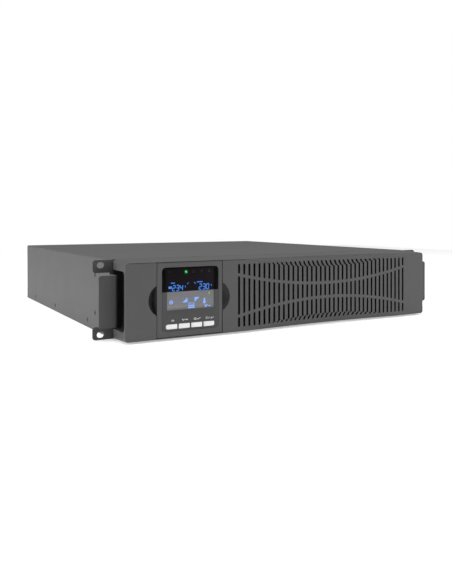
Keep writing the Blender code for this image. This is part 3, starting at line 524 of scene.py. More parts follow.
def spindle(name, z, margin=0.0, steps=44, around=64):
    """A parabola turned about X and flattened, as the scoop's cutter."""
    reach = SCOOP_HALF_SPAN + margin
    outward = math.copysign(SCOOP_SHIFT, z - MID_Z)
    shape = bmesh.new()
    rings = []
    for step in range(steps + 1):
        along = reach * math.cos(math.pi * step / steps)
        swell = 1 - (along / reach) ** 2 if 0 < step < steps else 0.0
        ring = []
        for k in range(around if swell else 1):
            angle = 2 * math.pi * (k + 0.5) / around
            y = (SCOOP_DEPTH + margin) * swell * math.cos(angle) - SCOOP_SHIFT
            height = z + outward + (SCOOP_HEIGHT + margin) * swell * math.sin(angle)
            ring.append(shape.verts.new((GRILLE_X + along, y, height)))
        rings.append(ring)
    for near, far in zip(rings, rings[1:]):
        for k in range(around):
            corners = []
            for ring, index in ((near, k), (near, k + 1), (far, k + 1), (far, k)):
                corner = ring[index % len(ring)]
                if corner not in corners:
                    corners.append(corner)
            shape.faces.new(corners)
    return emit(name, shape)


def moon(name, side, margin=0.0, around=56):
    shape = bmesh.new()
    bmesh.ops.create_uvsphere(shape, u_segments=around, v_segments=around // 2, radius=1)
    across = MOON_RADIUS + margin
    x = DISPLAY_X + side * (DISPLAY_HALF - MOON_INSET)
    for corner in shape.verts:
        u, v, w = corner.co
        corner.co = (x + across * u, (MOON_DEPTH + margin) * v - SCOOP_SHIFT, DISPLAY_Z + across * w)
    return emit(name, shape)


def bar_height(x):
    return BAR_WAIST + BAR_RISE * ((x - GRILLE_X) / BAR_HALF_SPAN) ** 2


def grille_outlines():
    """Round-ended slots, and square-cut ends along the two cross bars."""
    outlines = []
    end, corner = 1.2, 0.35
    for number in range(SLOT_COUNT):
        x = GRILLE_X + (number - (SLOT_COUNT - 1) / 2) * SLOT_PITCH
        left, right = x - SLOT_WIDTH / 2, x + SLOT_WIDTH / 2
        near = {u: bar_height(u) - BAR_HEIGHT / 2 for u in (left, right)}
        far = {u: bar_height(u) + BAR_HEIGHT / 2 for u in (left, right)}
        inner = [(left, -near[left]), (right, -near[right]), (right, near[right]), (left, near[left])]
        outlines.append([(u, MID_Z + v) for u, v in rounded(inner, corner)])
        outer = [(left, far[left]), (right, far[right]), (right, SLOT_HALF_HEIGHT), (left, SLOT_HALF_HEIGHT)]
        for way in (-1, 1):
            outlines.append([(u, MID_Z + way * v) for u, v in rounded(outer, [corner, corner, end, end])])
    return outlines


def side_range(side, inner, outer):
    return tuple(sorted((side * inner, side * outer)))


def shade_deep_faces(bezel):
    """Slot walls, the walls of the module's pocket and the steps behind the ears are painted near-black:
    painted shade in these recesses.
    """
    bezel.data.materials.append(SHADOW)
    grille_half = (SLOT_COUNT - 1) / 2 * SLOT_PITCH + SLOT_WIDTH
    for face in bezel.data.polygons:
        at, way = face.center / MM, face.normal
        depth = at.y - FACE
        inside = abs(at.x - GRILLE_X) < grille_half and abs(at.z - MID_Z) < SLOT_HALF_HEIGHT + 1
        flat_end = abs(way.z) > 0.9 and abs(at.z - MID_Z) < SCOOP_FREE_HALF
        in_slot = inside and (abs(way.x) > 0.9 or flat_end)
        beside_module = abs(at.x - DISPLAY_X) < DISPLAY_HALF + CLEARANCE + NEAR
        in_pocket = beside_module and abs(at.z - DISPLAY_Z) < DISPLAY_HALF_HEIGHT + CLEARANCE + NEAR
        beside_ear = abs(at.x) > EAR_INNER - CLEARANCE - NEAR
        behind_ear = beside_ear and depth > EAR_PLANE - EAR_SHADOW_GAP - NEAR / 2
        # These faces take painted shade.
        if depth > NEAR / 2 and (in_slot or in_pocket) or behind_ear:
            face.material_index = 1


def make_bezel():
    shape = bmesh.new()
    bmesh.ops.create_cube(shape, size=2)
    for corner in shape.verts:
        front = corner.co.y < 0
        half_width = FACE_HALF_WIDTH if front else HALF_WIDTH
        half_height = FACE_HALF_HEIGHT if front else HEIGHT / 2
        corner.co.x *= half_width
        corner.co.z = MID_Z + corner.co.z * half_height
        corner.co.y = 0 if front else BEZEL_DEPTH
    long_edges = [edge for edge in shape.edges if abs(edge.verts[0].co.y - edge.verts[1].co.y) > 1]
    bmesh.ops.bevel(shape, geom=long_edges, offset=FACE_CORNER, segments=7, affect="EDGES", profile=0.5)
    rim = [edge for edge in shape.edges if max(corner.co.y for corner in edge.verts) < 0.001]
    bmesh.ops.bevel(shape, geom=rim, offset=FACE_EDGE, segments=3, affect="EDGES", profile=0.5)
    rim = [edge for edge in shape.edges if min(corner.co.y for corner in edge.verts) > BEZEL_DEPTH - 0.001]
    bmesh.ops.bevel(shape, geom=rim, offset=0.3, segments=2, affect="EDGES", profile=0.5)
    bezel = emit("bezel_moulding", shape, BEZEL)

    pocket_half = DISPLAY_HALF + CLEARANCE
    pocket_half_height = DISPLAY_HALF_HEIGHT + CLEARANCE
    pocket_x = (DISPLAY_X - pocket_half, DISPLAY_X + pocket_half)
    pocket_z = (DISPLAY_Z - pocket_half_height, DISPLAY_Z + pocket_half_height)
    pocket_depth = DISPLAY_DEPTH + CLEARANCE
    cavity = blocks("cavity", [((-216.3, 216.3), (BEZEL_WALL, 60), (MID_Z - 40.3, MID_Z + 40.3))])
    keeps = [((pocket_x[0] - 1.6, pocket_x[1] + 1.6), (0, pocket_depth + 1.6), (-5, HEIGHT + 5))]
    for _, side in SIDES:
        x = side_range(side, HALF_WIDTH - GRIP_DEPTH - 2, HALF_WIDTH + 5)
        keeps.append((x, (0, 70), (GRIP_Z[0] - 2, GRIP_Z[1] + 2)))
    walls = [blocks("keeps", keeps)]
    edges_z = (("low", MID_Z - FACE_HALF_HEIGHT), ("high", MID_Z + FACE_HALF_HEIGHT))
    walls += [spindle(f"scoop_wall_{label}", z, BEZEL_WALL, 20, 24) for label, z in edges_z]
    walls += [moon(f"moon_wall_{label}", side, 1.6, 24) for label, side in SIDES]
    cut(cavity, *walls)

    tools = [cavity] + [spindle(f"scoop_{label}", z) for label, z in edges_z]
    tools.append(plate("slots", grille_outlines(), "Y", (-2, 16)))
    tools += [moon(f"moon_{label}", side) for label, side in SIDES]
    ribbon = ((DISPLAY_X - 15, DISPLAY_X + 15), (pocket_depth - 1, 60), (DISPLAY_Z - 6, DISPLAY_Z + 6))
    tools += [blocks("pocket", [(pocket_x, (-2, pocket_depth), pocket_z)]), blocks("ribbon_hole", [ribbon])]
    for label, side in SIDES:
        grip = (side_range(side, HALF_WIDTH - GRIP_DEPTH, HALF_WIDTH + 10), (3.2, 60), GRIP_Z)
        tools.append(blocks(f"grip_{label}", [grip], 4.5, None, 6))
        arm_depth = (EAR_PLANE - EAR_SHADOW_GAP, 60)
        arm_way = (side_range(side, EAR_INNER - CLEARANCE, HALF_WIDTH + 10), arm_depth, (-5, 95))
        tools.append(blocks(f"arm_way_{label}", [arm_way]))
    cut(bezel, *tools)
    clips = []
    for x in CLIPS_X:
        clips.append(((x - 4.6, x + 4.6), (30, 45.0), (83.2, 86.3)))
        clips.append(((x - 4.6, x + 4.6), (42.6, 45.0), (85, HEIGHT - 0.1)))
    for number, clip in enumerate(clips):
        join(bezel, blocks(f"clip_{number}", [clip], 0.25))
    shade_deep_faces(bezel)
    fit(crisp(bezel), "bezel", "bezel_plastic", "front_bezel")


# ---------------------------------------------------------------- display module

OVERLAY_Z = 44.7
OVERLAY_THICKNESS = 0.8
LENS_X = (-170.3, -112.2)
LENS_Z = (32.6, 78.3)
LENS_FACE = 0.30
MARK_FACE = 0.22  # lit marks lie on the display
MARK_THICKNESS = 0.07
KEY_Z = 14.8
KEY_HALF = (6.75, 2.65)
KEY_PITCH = 15.4
KEY_PROUD = 0.3
KEYS = (("button_up", "key_up"), ("button_down", "key_down"), ("button_select", "key_select"),
        ("button_power", "key_power"))


def key_x(number):
    return DISPLAY_X + (number - 1.5) * KEY_PITCH


def key_outline(number, grow=0.0):
    """A key's face: the outer ends of the row are rounded off."""
    x, half_x, half_z = key_x(number), KEY_HALF[0] + grow, KEY_HALF[1] + grow
    radii = [0.7] * 4
    if number == 0:
        radii[0], radii[3] = 2.4, 2.4
    if number == len(KEYS) - 1:
        radii[1], radii[2] = 2.0, 1.4
    return rectangle((x - half_x, x + half_x), (KEY_Z - half_z, KEY_Z + half_z), radii)


def make_housing():
    x = (DISPLAY_X - DISPLAY_HALF, DISPLAY_X + DISPLAY_HALF)
    z = (DISPLAY_Z - DISPLAY_HALF_HEIGHT, DISPLAY_Z + DISPLAY_HALF_HEIGHT)
    housing = plate("module_housing", [rectangle(x, z, 1.2)], "Y", (0, DISPLAY_DEPTH), PLATE, 0.45)
    inside = blocks("inside", [((x[0] + 1.8, x[1] - 1.8), (2.4, 40), (z[0] + 1.8, z[1] - 1.8))])
    reach = OVERLAY_HALF + 0.25
    seat_z = (OVERLAY_Z - reach, OVERLAY_Z + reach)
    seat = plate("seat", [rectangle((OVERLAY_X - reach, OVERLAY_X + reach), seat_z, 5.2)], "Y", (-1, 1.1))
    keyways = plate("keyways", [key_outline(number, 0.35) for number in range(4)], "Y", (-1, 5))
    window = blocks("window", [((OVERLAY_X - 28.5, OVERLAY_X + 28.5), (-1, 5), (33.4, 77.4))])
    cut(housing, inside, seat, window, keyways)
    fit(crisp(housing), "display_module", "bezel_plastic", "display_housing")

    outline = rectangle((OVERLAY_X - OVERLAY_HALF, OVERLAY_X + OVERLAY_HALF),
                        (OVERLAY_Z - OVERLAY_HALF, OVERLAY_Z + OVERLAY_HALF), 5.0, 8)
    window = rectangle(LENS_X, LENS_Z, 0.6)
    holes = [key_outline(number, 0.32) for number in range(4)]
    overlay = plate("module_overlay", [outline, window, *holes], "Y", (0, OVERLAY_THICKNESS), OVERLAY, 0.06)
    fit(overlay, "display_module", "overlay", "display_overlay")
    sheet = rectangle((LENS_X[0] + 0.08, LENS_X[1] - 0.08), (LENS_Z[0] + 0.08, LENS_Z[1] - 0.08), 0.5)
    lens = plate("display_window", [sheet], "Y", (LENS_FACE, OVERLAY_THICKNESS), LENS, 0.05)
    fit(lens, "display_module", "lcd")


def make_keys():
    for number, (node, body) in enumerate(KEYS):
        x = key_x(number)
        key = plate(f"{node}_cap", [key_outline(number)], "Y", (-KEY_PROUD, 4.0), WHITE, 0.4)
        half_x, half_z = KEY_HALF
        rim_x, rim_z = half_x + 0.75, half_z + 1.2
        rim = ((x - rim_x, x + rim_x), (3.5, 4.6), (KEY_Z - rim_z, KEY_Z + rim_z))
        stem = ((x - 1.5, x + 1.5), (4, 7.6), (KEY_Z - 1.5, KEY_Z + 1.5))
        join(key, blocks("rim", [rim], 0.2), blocks("stem", [stem], 0.2))
        fit(key, body, "white_key", node)


def add_bar(shape, start, end, half_width, near, far):
    """A flat bar between two (x, z) points and two depths."""
    along = (end - start).normalized()
    side = Vector((-along.y, along.x)) * half_width
    ring = [start + side, start - side, end - side, end + side]
    front = [shape.verts.new((p.x, near, p.y)) for p in ring]
    rear = [shape.verts.new((p.x, far, p.y)) for p in ring]
    shape.faces.new(front)
    shape.faces.new(rear[::-1])
    for k in range(4):
        shape.faces.new((front[k], front[(k + 1) % 4], rear[(k + 1) % 4], rear[k]))


def add_stroke(shape, start, end, width, face):
    """A mark between two (x, z) points, a little proud of what it is printed on and past its own ends."""
    start, end = Vector(start), Vector(end)
    tip = (end - start).normalized() * width * 0.15
    add_bar(shape, start - tip, end + tip, width / 2, face, face + MARK_THICKNESS)


def marks(name, strokes, skin, face, body="display_module", slot="lcd"):
    """Printed or lit marks, each (points, width)."""
    shape = bmesh.new()
    for points, width in strokes:
        for start, end in zip(points, points[1:]):
            add_stroke(shape, start, end, width, face)
    return fit(emit(name, shape, skin), body, slot)


def ring(centre, radius, start=0, end=360, steps=16):
    turns = [math.radians(start + (end - start) * k / steps) for k in range(steps + 1)]
    return [(centre[0] + radius * math.cos(a), centre[1] + radius * math.sin(a)) for a in turns]


SEGMENTS = {
    "a": ((0, 1), (1, 1)), "b": ((1, 1), (1, 0.5)), "c": ((1, 0.5), (1, 0)), "d": ((0, 0), (1, 0)),
    "e": ((0, 0), (0, 0.5)), "f": ((0, 0.5), (0, 1)), "g": ((0, 0.5), (1, 0.5)),
}
FIGURES = {"0": "abcdef", "2": "abged", "3": "abgcd", "4": "fgbc"}


def figures(digits, x, z, width, height, gap, slant=0.10):
    """Seven-segment figures as strokes, with a small break between segments."""
    strokes = []
    for place, digit in enumerate(digits):
        for segment in FIGURES[digit]:
            start, end = (Vector(point) for point in SEGMENTS[segment])
            start, end = start.lerp(end, 0.14), end.lerp(start, 0.14)
            points = []
            for point in (start, end):
                rise = point.y * height
                points.append((x + place * (width + gap) + point.x * width + slant * rise, z + rise))
            strokes.append((points, 0.95))
    return strokes


def solid(x, z):
    """A filled rectangle as one stroke."""
    return ([(x[0], middle(z)), (x[1], middle(z))], z[1] - z[0])


def make_marks():
    blue = lamp("lit_blue", (0.075, 0.27, 0.86), 1.0)
    pale = lamp("lit_pale_blue", (0.27, 0.46, 1.0), 1.0)
    dim = lamp("lit_dim_blue", (0.16, 0.21, 0.42), 1.0)
    strokes = figures("234", -163.9, 53.9, 3.1, 5.9, 1.4) + figures("230", -131.2, 53.9, 3.1, 5.9, 1.4)
    strokes += [solid((-168.1, -164.7), (56.4, 58.9)), ([(-148.3, 58.9), (-147.9, 57.2)], 0.7)]
    strokes += [([(-115.6, 59.0), (-115.3, 57.2)], 0.7)]
    strokes += [(ring((-143.6, 60.3), 1.9, 178, 100, 5), 0.55), (ring((-137.6, 60.3), 1.9, 2, 80, 5), 0.55)]
    for x, count in ((-165.3, 4), (-133.6, 6)):
        strokes += [([(x + 1.25 * k, 61.9), (x + 1.25 * k + 0.35, 63.0)], 0.75) for k in range(count)]
    marks("readings", strokes, blue, MARK_FACE)

    flow = [(ring((-165.3, 41.5), 1.75), 0.95)]
    flow += [([(-166.3, 41.2), (-165.7, 42.0), (-164.9, 41.0), (-164.3, 41.8)], 0.6)]
    steps = 5
    for k in range(steps):
        share = (k + 0.5) / steps
        low, high = 40.4 + 4.9 * k / steps, 40.4 + 4.9 * (k + 1) / steps
        flow.append(solid((-151.8 + 6.0 * share, -145.7), (low, high)))
        flow.append(solid((-136.6, -136.6 + 6.2 * share), (low + 0.3, high + 0.3)))
    flow += [([(-144.4, 38.3), (-143.4, 39.3), (-137.8, 39.3), (-136.8, 38.3)], 0.7),
             solid((-144.2, -137.1), (35.9, 37.4)), solid((-144.6, -136.7), (33.7, 35.3))]
    flow += [solid((-124.95, -123.85), (40.9, 44.0)), solid((-125.6, -123.2), (38.4, 41.0)),
             ([(-124.4, 38.4), (-124.4, 37.5)], 1.0)]
    flow += [solid((-123.5, -122.1), (33.9, 36.4)),
             ([(-121.9, 35.4), (-120.7, 35.9), (-119.3, 34.9), (-116.4, 35.0)], 0.8)]
    marks("flow_diagram", flow, pale, MARK_FACE)

    faint = [([(-162.9, 41.5), (-152.0, 41.6)], 0.5), ([(-145.4, 44.4), (-136.8, 44.3)], 0.5)]
    faint += [([(-152.0, 45.3), (-145.7, 45.3)], 0.45), ([(-152.0, 45.3), (-152.0, 40.4)], 0.45)]
    faint += [([(-136.6, 40.7), (-130.3, 40.7)], 0.4), ([(-130.3, 45.5), (-130.3, 40.7)], 0.4)]
    faint += [([(-144.2, 42.3), (-141.5, 40.6)], 0.5), ([(-129.4, 42.3), (-127.9, 42.3)], 0.5),
              ([(-127.2, 42.3), (-126.0, 42.3)], 0.5)]
    faint += [([(-120.6, 42.4), (-120.6, 36.6)], 0.4), ([(-118.2, 42.3), (-118.2, 37.6)], 0.4)]
    faint += [([(-118.0, 41.9), (-114.1, 41.9)], 0.7)]
    faint += [([(-168.5, 51.8), (-160.6, 51.8)], 0.35), ([(-156.8, 51.9), (-148.2, 51.9)], 0.35)]
    faint += [([(-145.8, 51.9), (-144.6, 51.2), (-135.2, 51.9)], 0.5)]
    faint += [([(-133.2, 51.9), (-118.6, 51.9)], 0.3)]
    marks("flow_lines", faint, dim, MARK_FACE)

    lime = lamp("lit_lime", (0.28, 0.62, 0.12), 1.0)
    mode = [([(-118.8, 50.4), (-118.2, 49.6), (-117.6, 50.4)], 0.55)]
    mode += [([(-118.2, 49.6), (-118.2, 48.7)], 0.7), ([(-118.9, 48.3), (-117.5, 48.3)], 0.45)]
    marks("mode_mark", mode, lime, MARK_FACE)
    core = lamp("lit_green", (0.32, 1.0, 0.40), 1.0)
    wave = [([(-148.0, 74.9), (-147.3, 74.6), (-147.0, 74.0), (-146.3, 73.7)], 0.75)]
    marks("status_light", wave, core, MARK_FACE - 0.04)
    glow_centre = Vector((-147.2 * MM, (FACE + MARK_FACE) * MM, 74.3 * MM))
    glow = lamp("green_glow", (0.01, 0.62, 0.06), 1.3, 3.1, glow_centre)
    halo = plate("status_halo", [circle(3.0, (-147.2, 74.3), 40)], "Y", (MARK_FACE, MARK_FACE + 0.08), glow)
    fit(halo, "display_module", "lcd")
    unlit = ink("unlit_mark", (0.035, 0.032, 0.034))
    icons = [(ring((-138.0, 74.5), 1.0, -30, 210, 9), 0.45), ([(-139.2, 73.4), (-136.8, 73.4)], 0.4)]
    icons += [([(-129.1, 73.4), (-127.1, 75.4)], 0.5), (ring((-127.5, 75.2), 0.8, 0, 300, 8), 0.35)]
    icons += [([(-119.4, 73.4), (-117.0, 73.4), (-118.2, 75.5), (-119.4, 73.4)], 0.4)]
    icons += [([(-168.2, 74.6), (-167.2, 75.4), (-166.2, 74.6)], 0.3)]
    marks("unlit_marks", icons, unlit, MARK_FACE)

    white = ink("white_ink", (0.62, 0.62, 0.62))
    legends = [([(-164.9, 20.7), (-163.5, 22.3), (-162.1, 20.7)], 0.75)]
    legends += [([(-152.0, 22.3), (-150.6, 20.7), (-149.2, 22.3)], 0.75)]
    legends += [([(-148.0, 21.5), (-145.3, 21.5)], 0.9)]
    legends += [([(-137.3, 20.7), (-134.7, 20.7), (-134.7, 22.3), (-137.3, 22.3), (-137.3, 20.7)], 0.55),
                ([(-133.5, 21.4), (-132.6, 20.7), (-129.6, 22.4)], 0.7)]
    legends += [(ring((-121.6, 21.4), 1.05, 130, 410, 12), 0.5), ([(-121.6, 21.5), (-121.6, 22.9)], 0.5),
                ([(-119.4, 20.5), (-118.2, 22.4)], 0.5),
                ([(-117.2, 20.8), (-116.2, 20.8), (-115.0, 21.9), (-115.0, 20.3), (-116.2, 21.4)], 0.55),
                ([(-114.1, 20.7), (-113.0, 22.1)], 0.5)]
    marks("key_legends", legends, white, -0.03, slot="overlay")


# ---------------------------------------------------------------- small hardware


def screw_profile(radius, dome, shank=0.0, shank_length=0.0):
    """A headed screw from its crown down, as (radius, depth from the crown)."""
    profile = [(0, 0), (radius * 0.5, dome * 0.12), (radius * 0.82, dome * 0.42), (radius * 0.97, dome * 0.8)]
    profile += [(radius, dome), (radius, dome * 1.25)]
    if shank:
        tip = shank_length + 0.4
        profile += [(shank, dome * 1.25), (shank, shank_length), (shank * 0.7, tip), (0, tip)]
    else:
        profile += [(0, dome * 1.25)]
    return profile


def rear_screws(name, places, outer, radius=2.8, dome=1.2, skin=None, length=4.0):
    """Pan-head screws with cross recesses, seen from the rear. outer is the depth of their crowns."""
    parts = []
    for k, (x, z) in enumerate(places):
        profile = [(reach, outer - down) for reach, down in screw_profile(radius, dome, radius * 0.5, length)]
        head = lathe(f"{name}_part_{k}", profile, "Y", (x, 0, z), skin or ZINC, 24)
        arm, half = radius * 0.62, radius * 0.15
        turn = 20 + 37 * k
        recess = []
        for angle in (turn, turn + 90):
            bar = blocks(f"{name}_bar_{k}_{angle}", [((-arm, arm), (outer - 0.75, outer + 1), (-half, half))])
            spin = Matrix.Rotation(math.radians(angle), 4, "Y")
            bar.data.transform(Matrix.Translation((x * MM, 0, z * MM)) @ spin)
            recess.append(bar)
        parts.append(cut(head, *recess))
    piece = gather(name, parts)
    return fit(piece, "chassis", "zinc" if skin is None else "black_screw")


def make_side_screws():
    """Countersunk screws with cross recesses in the cover's sides."""
    for name in NODES:
        if not name.startswith(("cover_screw", "ear_screw")):
            continue
        x, y, z = depth_box(name)
        side = 1 if middle(x) > 0 else -1
        crown = x[1] if side > 0 else x[0]
        tail = abs(x[1] - x[0])
        profile = [(0, 0.0), (2.1, 0.0), (2.5, 0.12), (2.6, 0.35), (2.55, 0.85), (1.5, 0.9)]
        profile += [(1.5, tail - 0.5), (1.1, tail), (0, tail)]
        profile = [(reach, crown - side * down) for reach, down in profile]
        head = lathe(f"{name}_fine", profile, "X", (0, middle(y), middle(z)), DARK_SCREW, 28)
        arm, half = 1.6, 0.38
        bars = []
        for k, (deep, tall) in enumerate(((arm, half), (half, arm))):
            across = side_range(side, side * crown - 0.6, side * crown + 1)
            spans = (across, (middle(y) - deep, middle(y) + deep), (middle(z) - tall, middle(z) + tall))
            bars.append(blocks(f"{name}_bar_{k}", [spans]))
        cut(head, *bars)
        fit(head, "chassis", "black_screw", name)


# ---------------------------------------------------------------- rear

REAR_FACE = 469.4
GAP = 0.3
OUTER = REAR_FACE + GAP  # where the flanges start
FLANGE = 2.0
FAN_X = (-168.0, -84.0)
FAN_SIZE = 80.0
FAN_HOLE = 35.75
FAN_REAR = 467.9
FAN_DEPTH = 25.0
FAN_BORE = 38.3
OUTLETS_X = 86.0
OUTLETS_Z = (61.5, 26.5)
OUTLET_PITCH = 28.0
INLET = (180.0, 62.0)
BREAKER = (158.0, 24.0)
PACK_SOCKET = (192.0, 24.0)
CARD_SLOT = (-10.0, 62.0)
USB = (-30.0, 22.0)
SERIAL = (-8.0, 22.0)
STOP_BLOCK = (16.2, 22.0)


def around(centre, half_x, half_z, radii=0.0):
    x, z = centre
    return rectangle((x - half_x, x + half_x), (z - half_z, z + half_z), radii)


def fan_corners(x):
    return [(x + u, MID_Z + v) for u in (-FAN_HOLE, FAN_HOLE) for v in (-FAN_HOLE, FAN_HOLE)]


def make_fans():
    for number, x in enumerate(FAN_X, 1):
        half = FAN_SIZE / 2
        front = FAN_REAR - FAN_DEPTH
        bore = circle(FAN_BORE, (x, MID_Z), 64)
        holes = [circle(2.2, corner, 16) for corner in fan_corners(x)]
        square = around((x, MID_Z), half, half, 4.5)
        rear = plate(f"fan_case_{number}", [square, bore, *holes], "Y", (FAN_REAR - 4, FAN_REAR), BLACK, 0.3)
        fore = plate("fore", [square, bore, *holes], "Y", (front, front + 4), BLACK, 0.3)
        tube = plate("tube", [circle(39.4, (x, MID_Z), 64), bore], "Y", (front + 2, FAN_REAR - 2), BLACK)
        spokes = []
        for k in range(4):
            angle = math.radians(45 + 90 * k)
            near = (x + 14 * math.cos(angle), MID_Z + 14 * math.sin(angle))
            far = (x + 39 * math.cos(angle + 0.25), MID_Z + 39 * math.sin(angle + 0.25))
            shape = bmesh.new()
            add_bar(shape, Vector(near), Vector(far), 1.6, front + 0.4, front + 2.6)
            spokes.append(emit(f"spoke_{k}", shape, BLACK))
        profile = [(0, front), (15, front), (15.5, front + 0.5), (15.5, front + 2.6), (0, front + 2.6)]
        seat = lathe("seat", profile, "Y", (x, 0, MID_Z), BLACK, 40)
        join(rear, fore, tube, seat, *spokes)
        fit(crisp(rear), "chassis", "black_plastic", f"fan_frame_{number}")
        make_rotor(number, x)
        make_guard(number, x)


def make_rotor(number, x):
    y = 453.9
    hub = [(0, 7.2), (9.5, 7.2), (10, 6.9), (14.8, 6.9), (15.8, 6.3), (16, 5.4), (16, -7.4), (0, -7.4)]
    hub = [(radius, y + along) for radius, along in hub]
    rotor = lathe(f"fan_wheel_{number}", hub, "Y", (x, 0, MID_Z), BLACK, 48)
    rows, columns, blades = 9, 8, 7
    shape = bmesh.new()
    for blade in range(blades):
        grid = []
        for row in range(rows + 1):
            share = row / rows
            radius = 15.5 + 21.3 * share
            spread = 0.40 - 0.05 * share
            sweep = 2 * math.pi * blade / blades + 0.32 * share * share
            line = []
            for column in range(columns + 1):
                t = 2 * column / columns - 1
                angle = sweep + spread * t
                lift = 5.6 * t * (1 - 0.22 * share) + 1.3 * (1 - t * t)
                across, up = radius * math.cos(angle), radius * math.sin(angle)
                line.append(shape.verts.new((x + across, y + lift - 0.6, MID_Z + up)))
            grid.append(line)
        for near, far in zip(grid, grid[1:]):
            for k in range(columns):
                shape.faces.new((near[k], near[k + 1], far[k + 1], far[k]))
    vanes = emit("vanes", shape, BLACK, 60)
    wall = vanes.modifiers.new("wall", "SOLIDIFY")
    wall.thickness = 1.3 * MM
    wall.offset = 0
    bake(vanes, 60)
    join(rotor, vanes)
    fit(rotor, f"fan_{number}", "black_plastic", f"fan_rotor_{number}")


def make_guard(number, x):
    wire = 0.75
    parts = []
    near, far = OUTER + wire + 0.05, OUTER + FLANGE - wire - 0.02
    for k, radius in enumerate((12.0, 18.4, 24.8, 31.2, 37.4)):
        loop = [(x + u, near, MID_Z + v) for u, v in circle(radius, segments=64)]
        parts.append(rods(f"ring_{k}", [loop], wire, ZINC, True, 2))
    for k in range(4):
        angle = math.radians(45 + 90 * k)
        eye = FAN_HOLE * math.sqrt(2)
        u, v = math.cos(angle), math.sin(angle)
        path = [(x + r * u, far, MID_Z + r * v) for r in (11.4, 20, 30, 40, eye - 2.9)]
        for step in range(1, 16):
            turn = angle + math.pi + 2 * math.pi * step / 16
            path.append((x + eye * u + 2.9 * math.cos(turn), far, MID_Z + eye * v + 2.9 * math.sin(turn)))
        parts.append(rods(f"leg_{k}", [path], wire, ZINC, False, 2))
    guard = gather(f"fan_grille_{number}", parts)
    fit(guard, "chassis", "zinc", f"fan_guard_{number}")
    rear_screws(f"fan_screws_{number}", fan_corners(x), OUTER + FLANGE + 1.5, 3.4, 1.3, None, 6.0)


def make_sockets():
    face = OUTER + FLANGE
    x, z = INLET
    flange = plate("inlet_moulding", [around(INLET, 25, 13.5, 3)], "Y", (OUTER, face), BLACK, 0.5)
    body = blocks("inlet_body", [((x - 14, x + 14), (444, OUTER + 1), (z - 10, z + 10))], 0.8, BLACK)
    mouth_shape = rounded([(x - 12.3, z - 8.3), (x + 12.3, z - 8.3), (x + 12.3, z + 4.5), (x + 8.5, z + 8.3),
                           (x - 8.5, z + 8.3), (x - 12.3, z + 4.5)], [1.5, 1.5, 0.8, 0.8, 0.8, 0.8])
    join(flange, body)
    cut(flange, plate("mouth", [mouth_shape], "Y", (face - 16.5, face + 2)))
    fit(crisp(flange), "chassis", "black_plastic", "mains_inlet")
    pins = []
    for u, v in ((-7, -2), (0, 2.5), (7, -2)):
        pins.append(((x + u - 1, x + u + 1), (face - 17, face - 5), (z + v - 2, z + v + 2)))
    fit(blocks("inlet_pins", pins, 0.5, BRASS), "chassis", "zinc")
    rear_screws("inlet_screws", [(x - 20, z), (x + 20, z)], face + 1.3, 2.8, 1.2, DARK_SCREW)

    for number, z in enumerate(OUTLETS_Z, 1):
        flange = around((OUTLETS_X, z), 59, 15, 2)
        bank = plate(f"outlet_moulding_{number}", [flange], "Y", (OUTER, face), BLACK, 0.5)
        body = ((OUTLETS_X - 56, OUTLETS_X + 56), (446, OUTER + 1), (z - 12, z + 12))
        join(bank, blocks("body", [body], 0.8, BLACK))
        wells, tongues, slots, contacts = [], [], [], []
        for index in range(4):
            x = OUTLETS_X + (index - 1.5) * OUTLET_PITCH
            for grow, into in ((0, wells), (-2.2, tongues)):
                w, h, bevel = 12.6 + grow, 8.8 + grow, 3.6
                outline = [(-w, -h), (w, -h), (w, h - bevel), (w - bevel, h), (bevel - w, h), (-w, h - bevel)]
                into.append(rounded([(x + u, z + v) for u, v in outline], 0.8))
            for u, v in ((-7, -1.5), (0, 2.2), (7, -1.5)):
                slots.append(around((x + u, z + v), 1.3, 2.6, 0.3))
                for way in (-1, 1):
                    leaf = x + u + way * 0.95
                    tall = (z + v - 2.1, z + v + 2.1)
                    contacts.append(((leaf - 0.3, leaf + 0.3), (face - 13, face - 3.5), tall))
        cut(bank, plate("wells", wells, "Y", (face - 15, face + 2)))
        join(bank, plate("tongues", tongues, "Y", (face - 16, face - 1), BLACK, 0.4))
        cut(bank, plate("slots", slots, "Y", (face - 14, face + 2)))
        fit(crisp(bank), "chassis", "black_plastic", f"outlet_bank_{number}")
        fit(blocks(f"outlet_contacts_{number}", contacts, 0.1, BRASS, 1), "chassis", "zinc")

    x, z = PACK_SOCKET
    flange = around(PACK_SOCKET, 18.5, 12.5, 2.5)
    pack = plate("pack_socket_moulding", [flange], "Y", (OUTER, face), BLACK, 0.5)
    join(pack, blocks("body", [((x - 15, x + 15), (440, OUTER + 1), (z - 10, z + 10))], 0.8, BLACK))
    mouths = [around((x + u, z), 5.6, 7, 1.6) for u in (-7.2, 7.2)]
    cut(pack, plate("mouths", mouths, "Y", (face - 14, face + 2)))
    fit(crisp(pack), "chassis", "black_plastic", "battery_pack_socket")
    blades = [((x + u - 3.2, x + u + 3.2), (face - 14.2, face - 3), (z - 0.9, z + 0.9)) for u in (-7.2, 7.2)]
    fit(blocks("pack_socket_blades", blades, 0.4, BRASS), "chassis", "zinc")


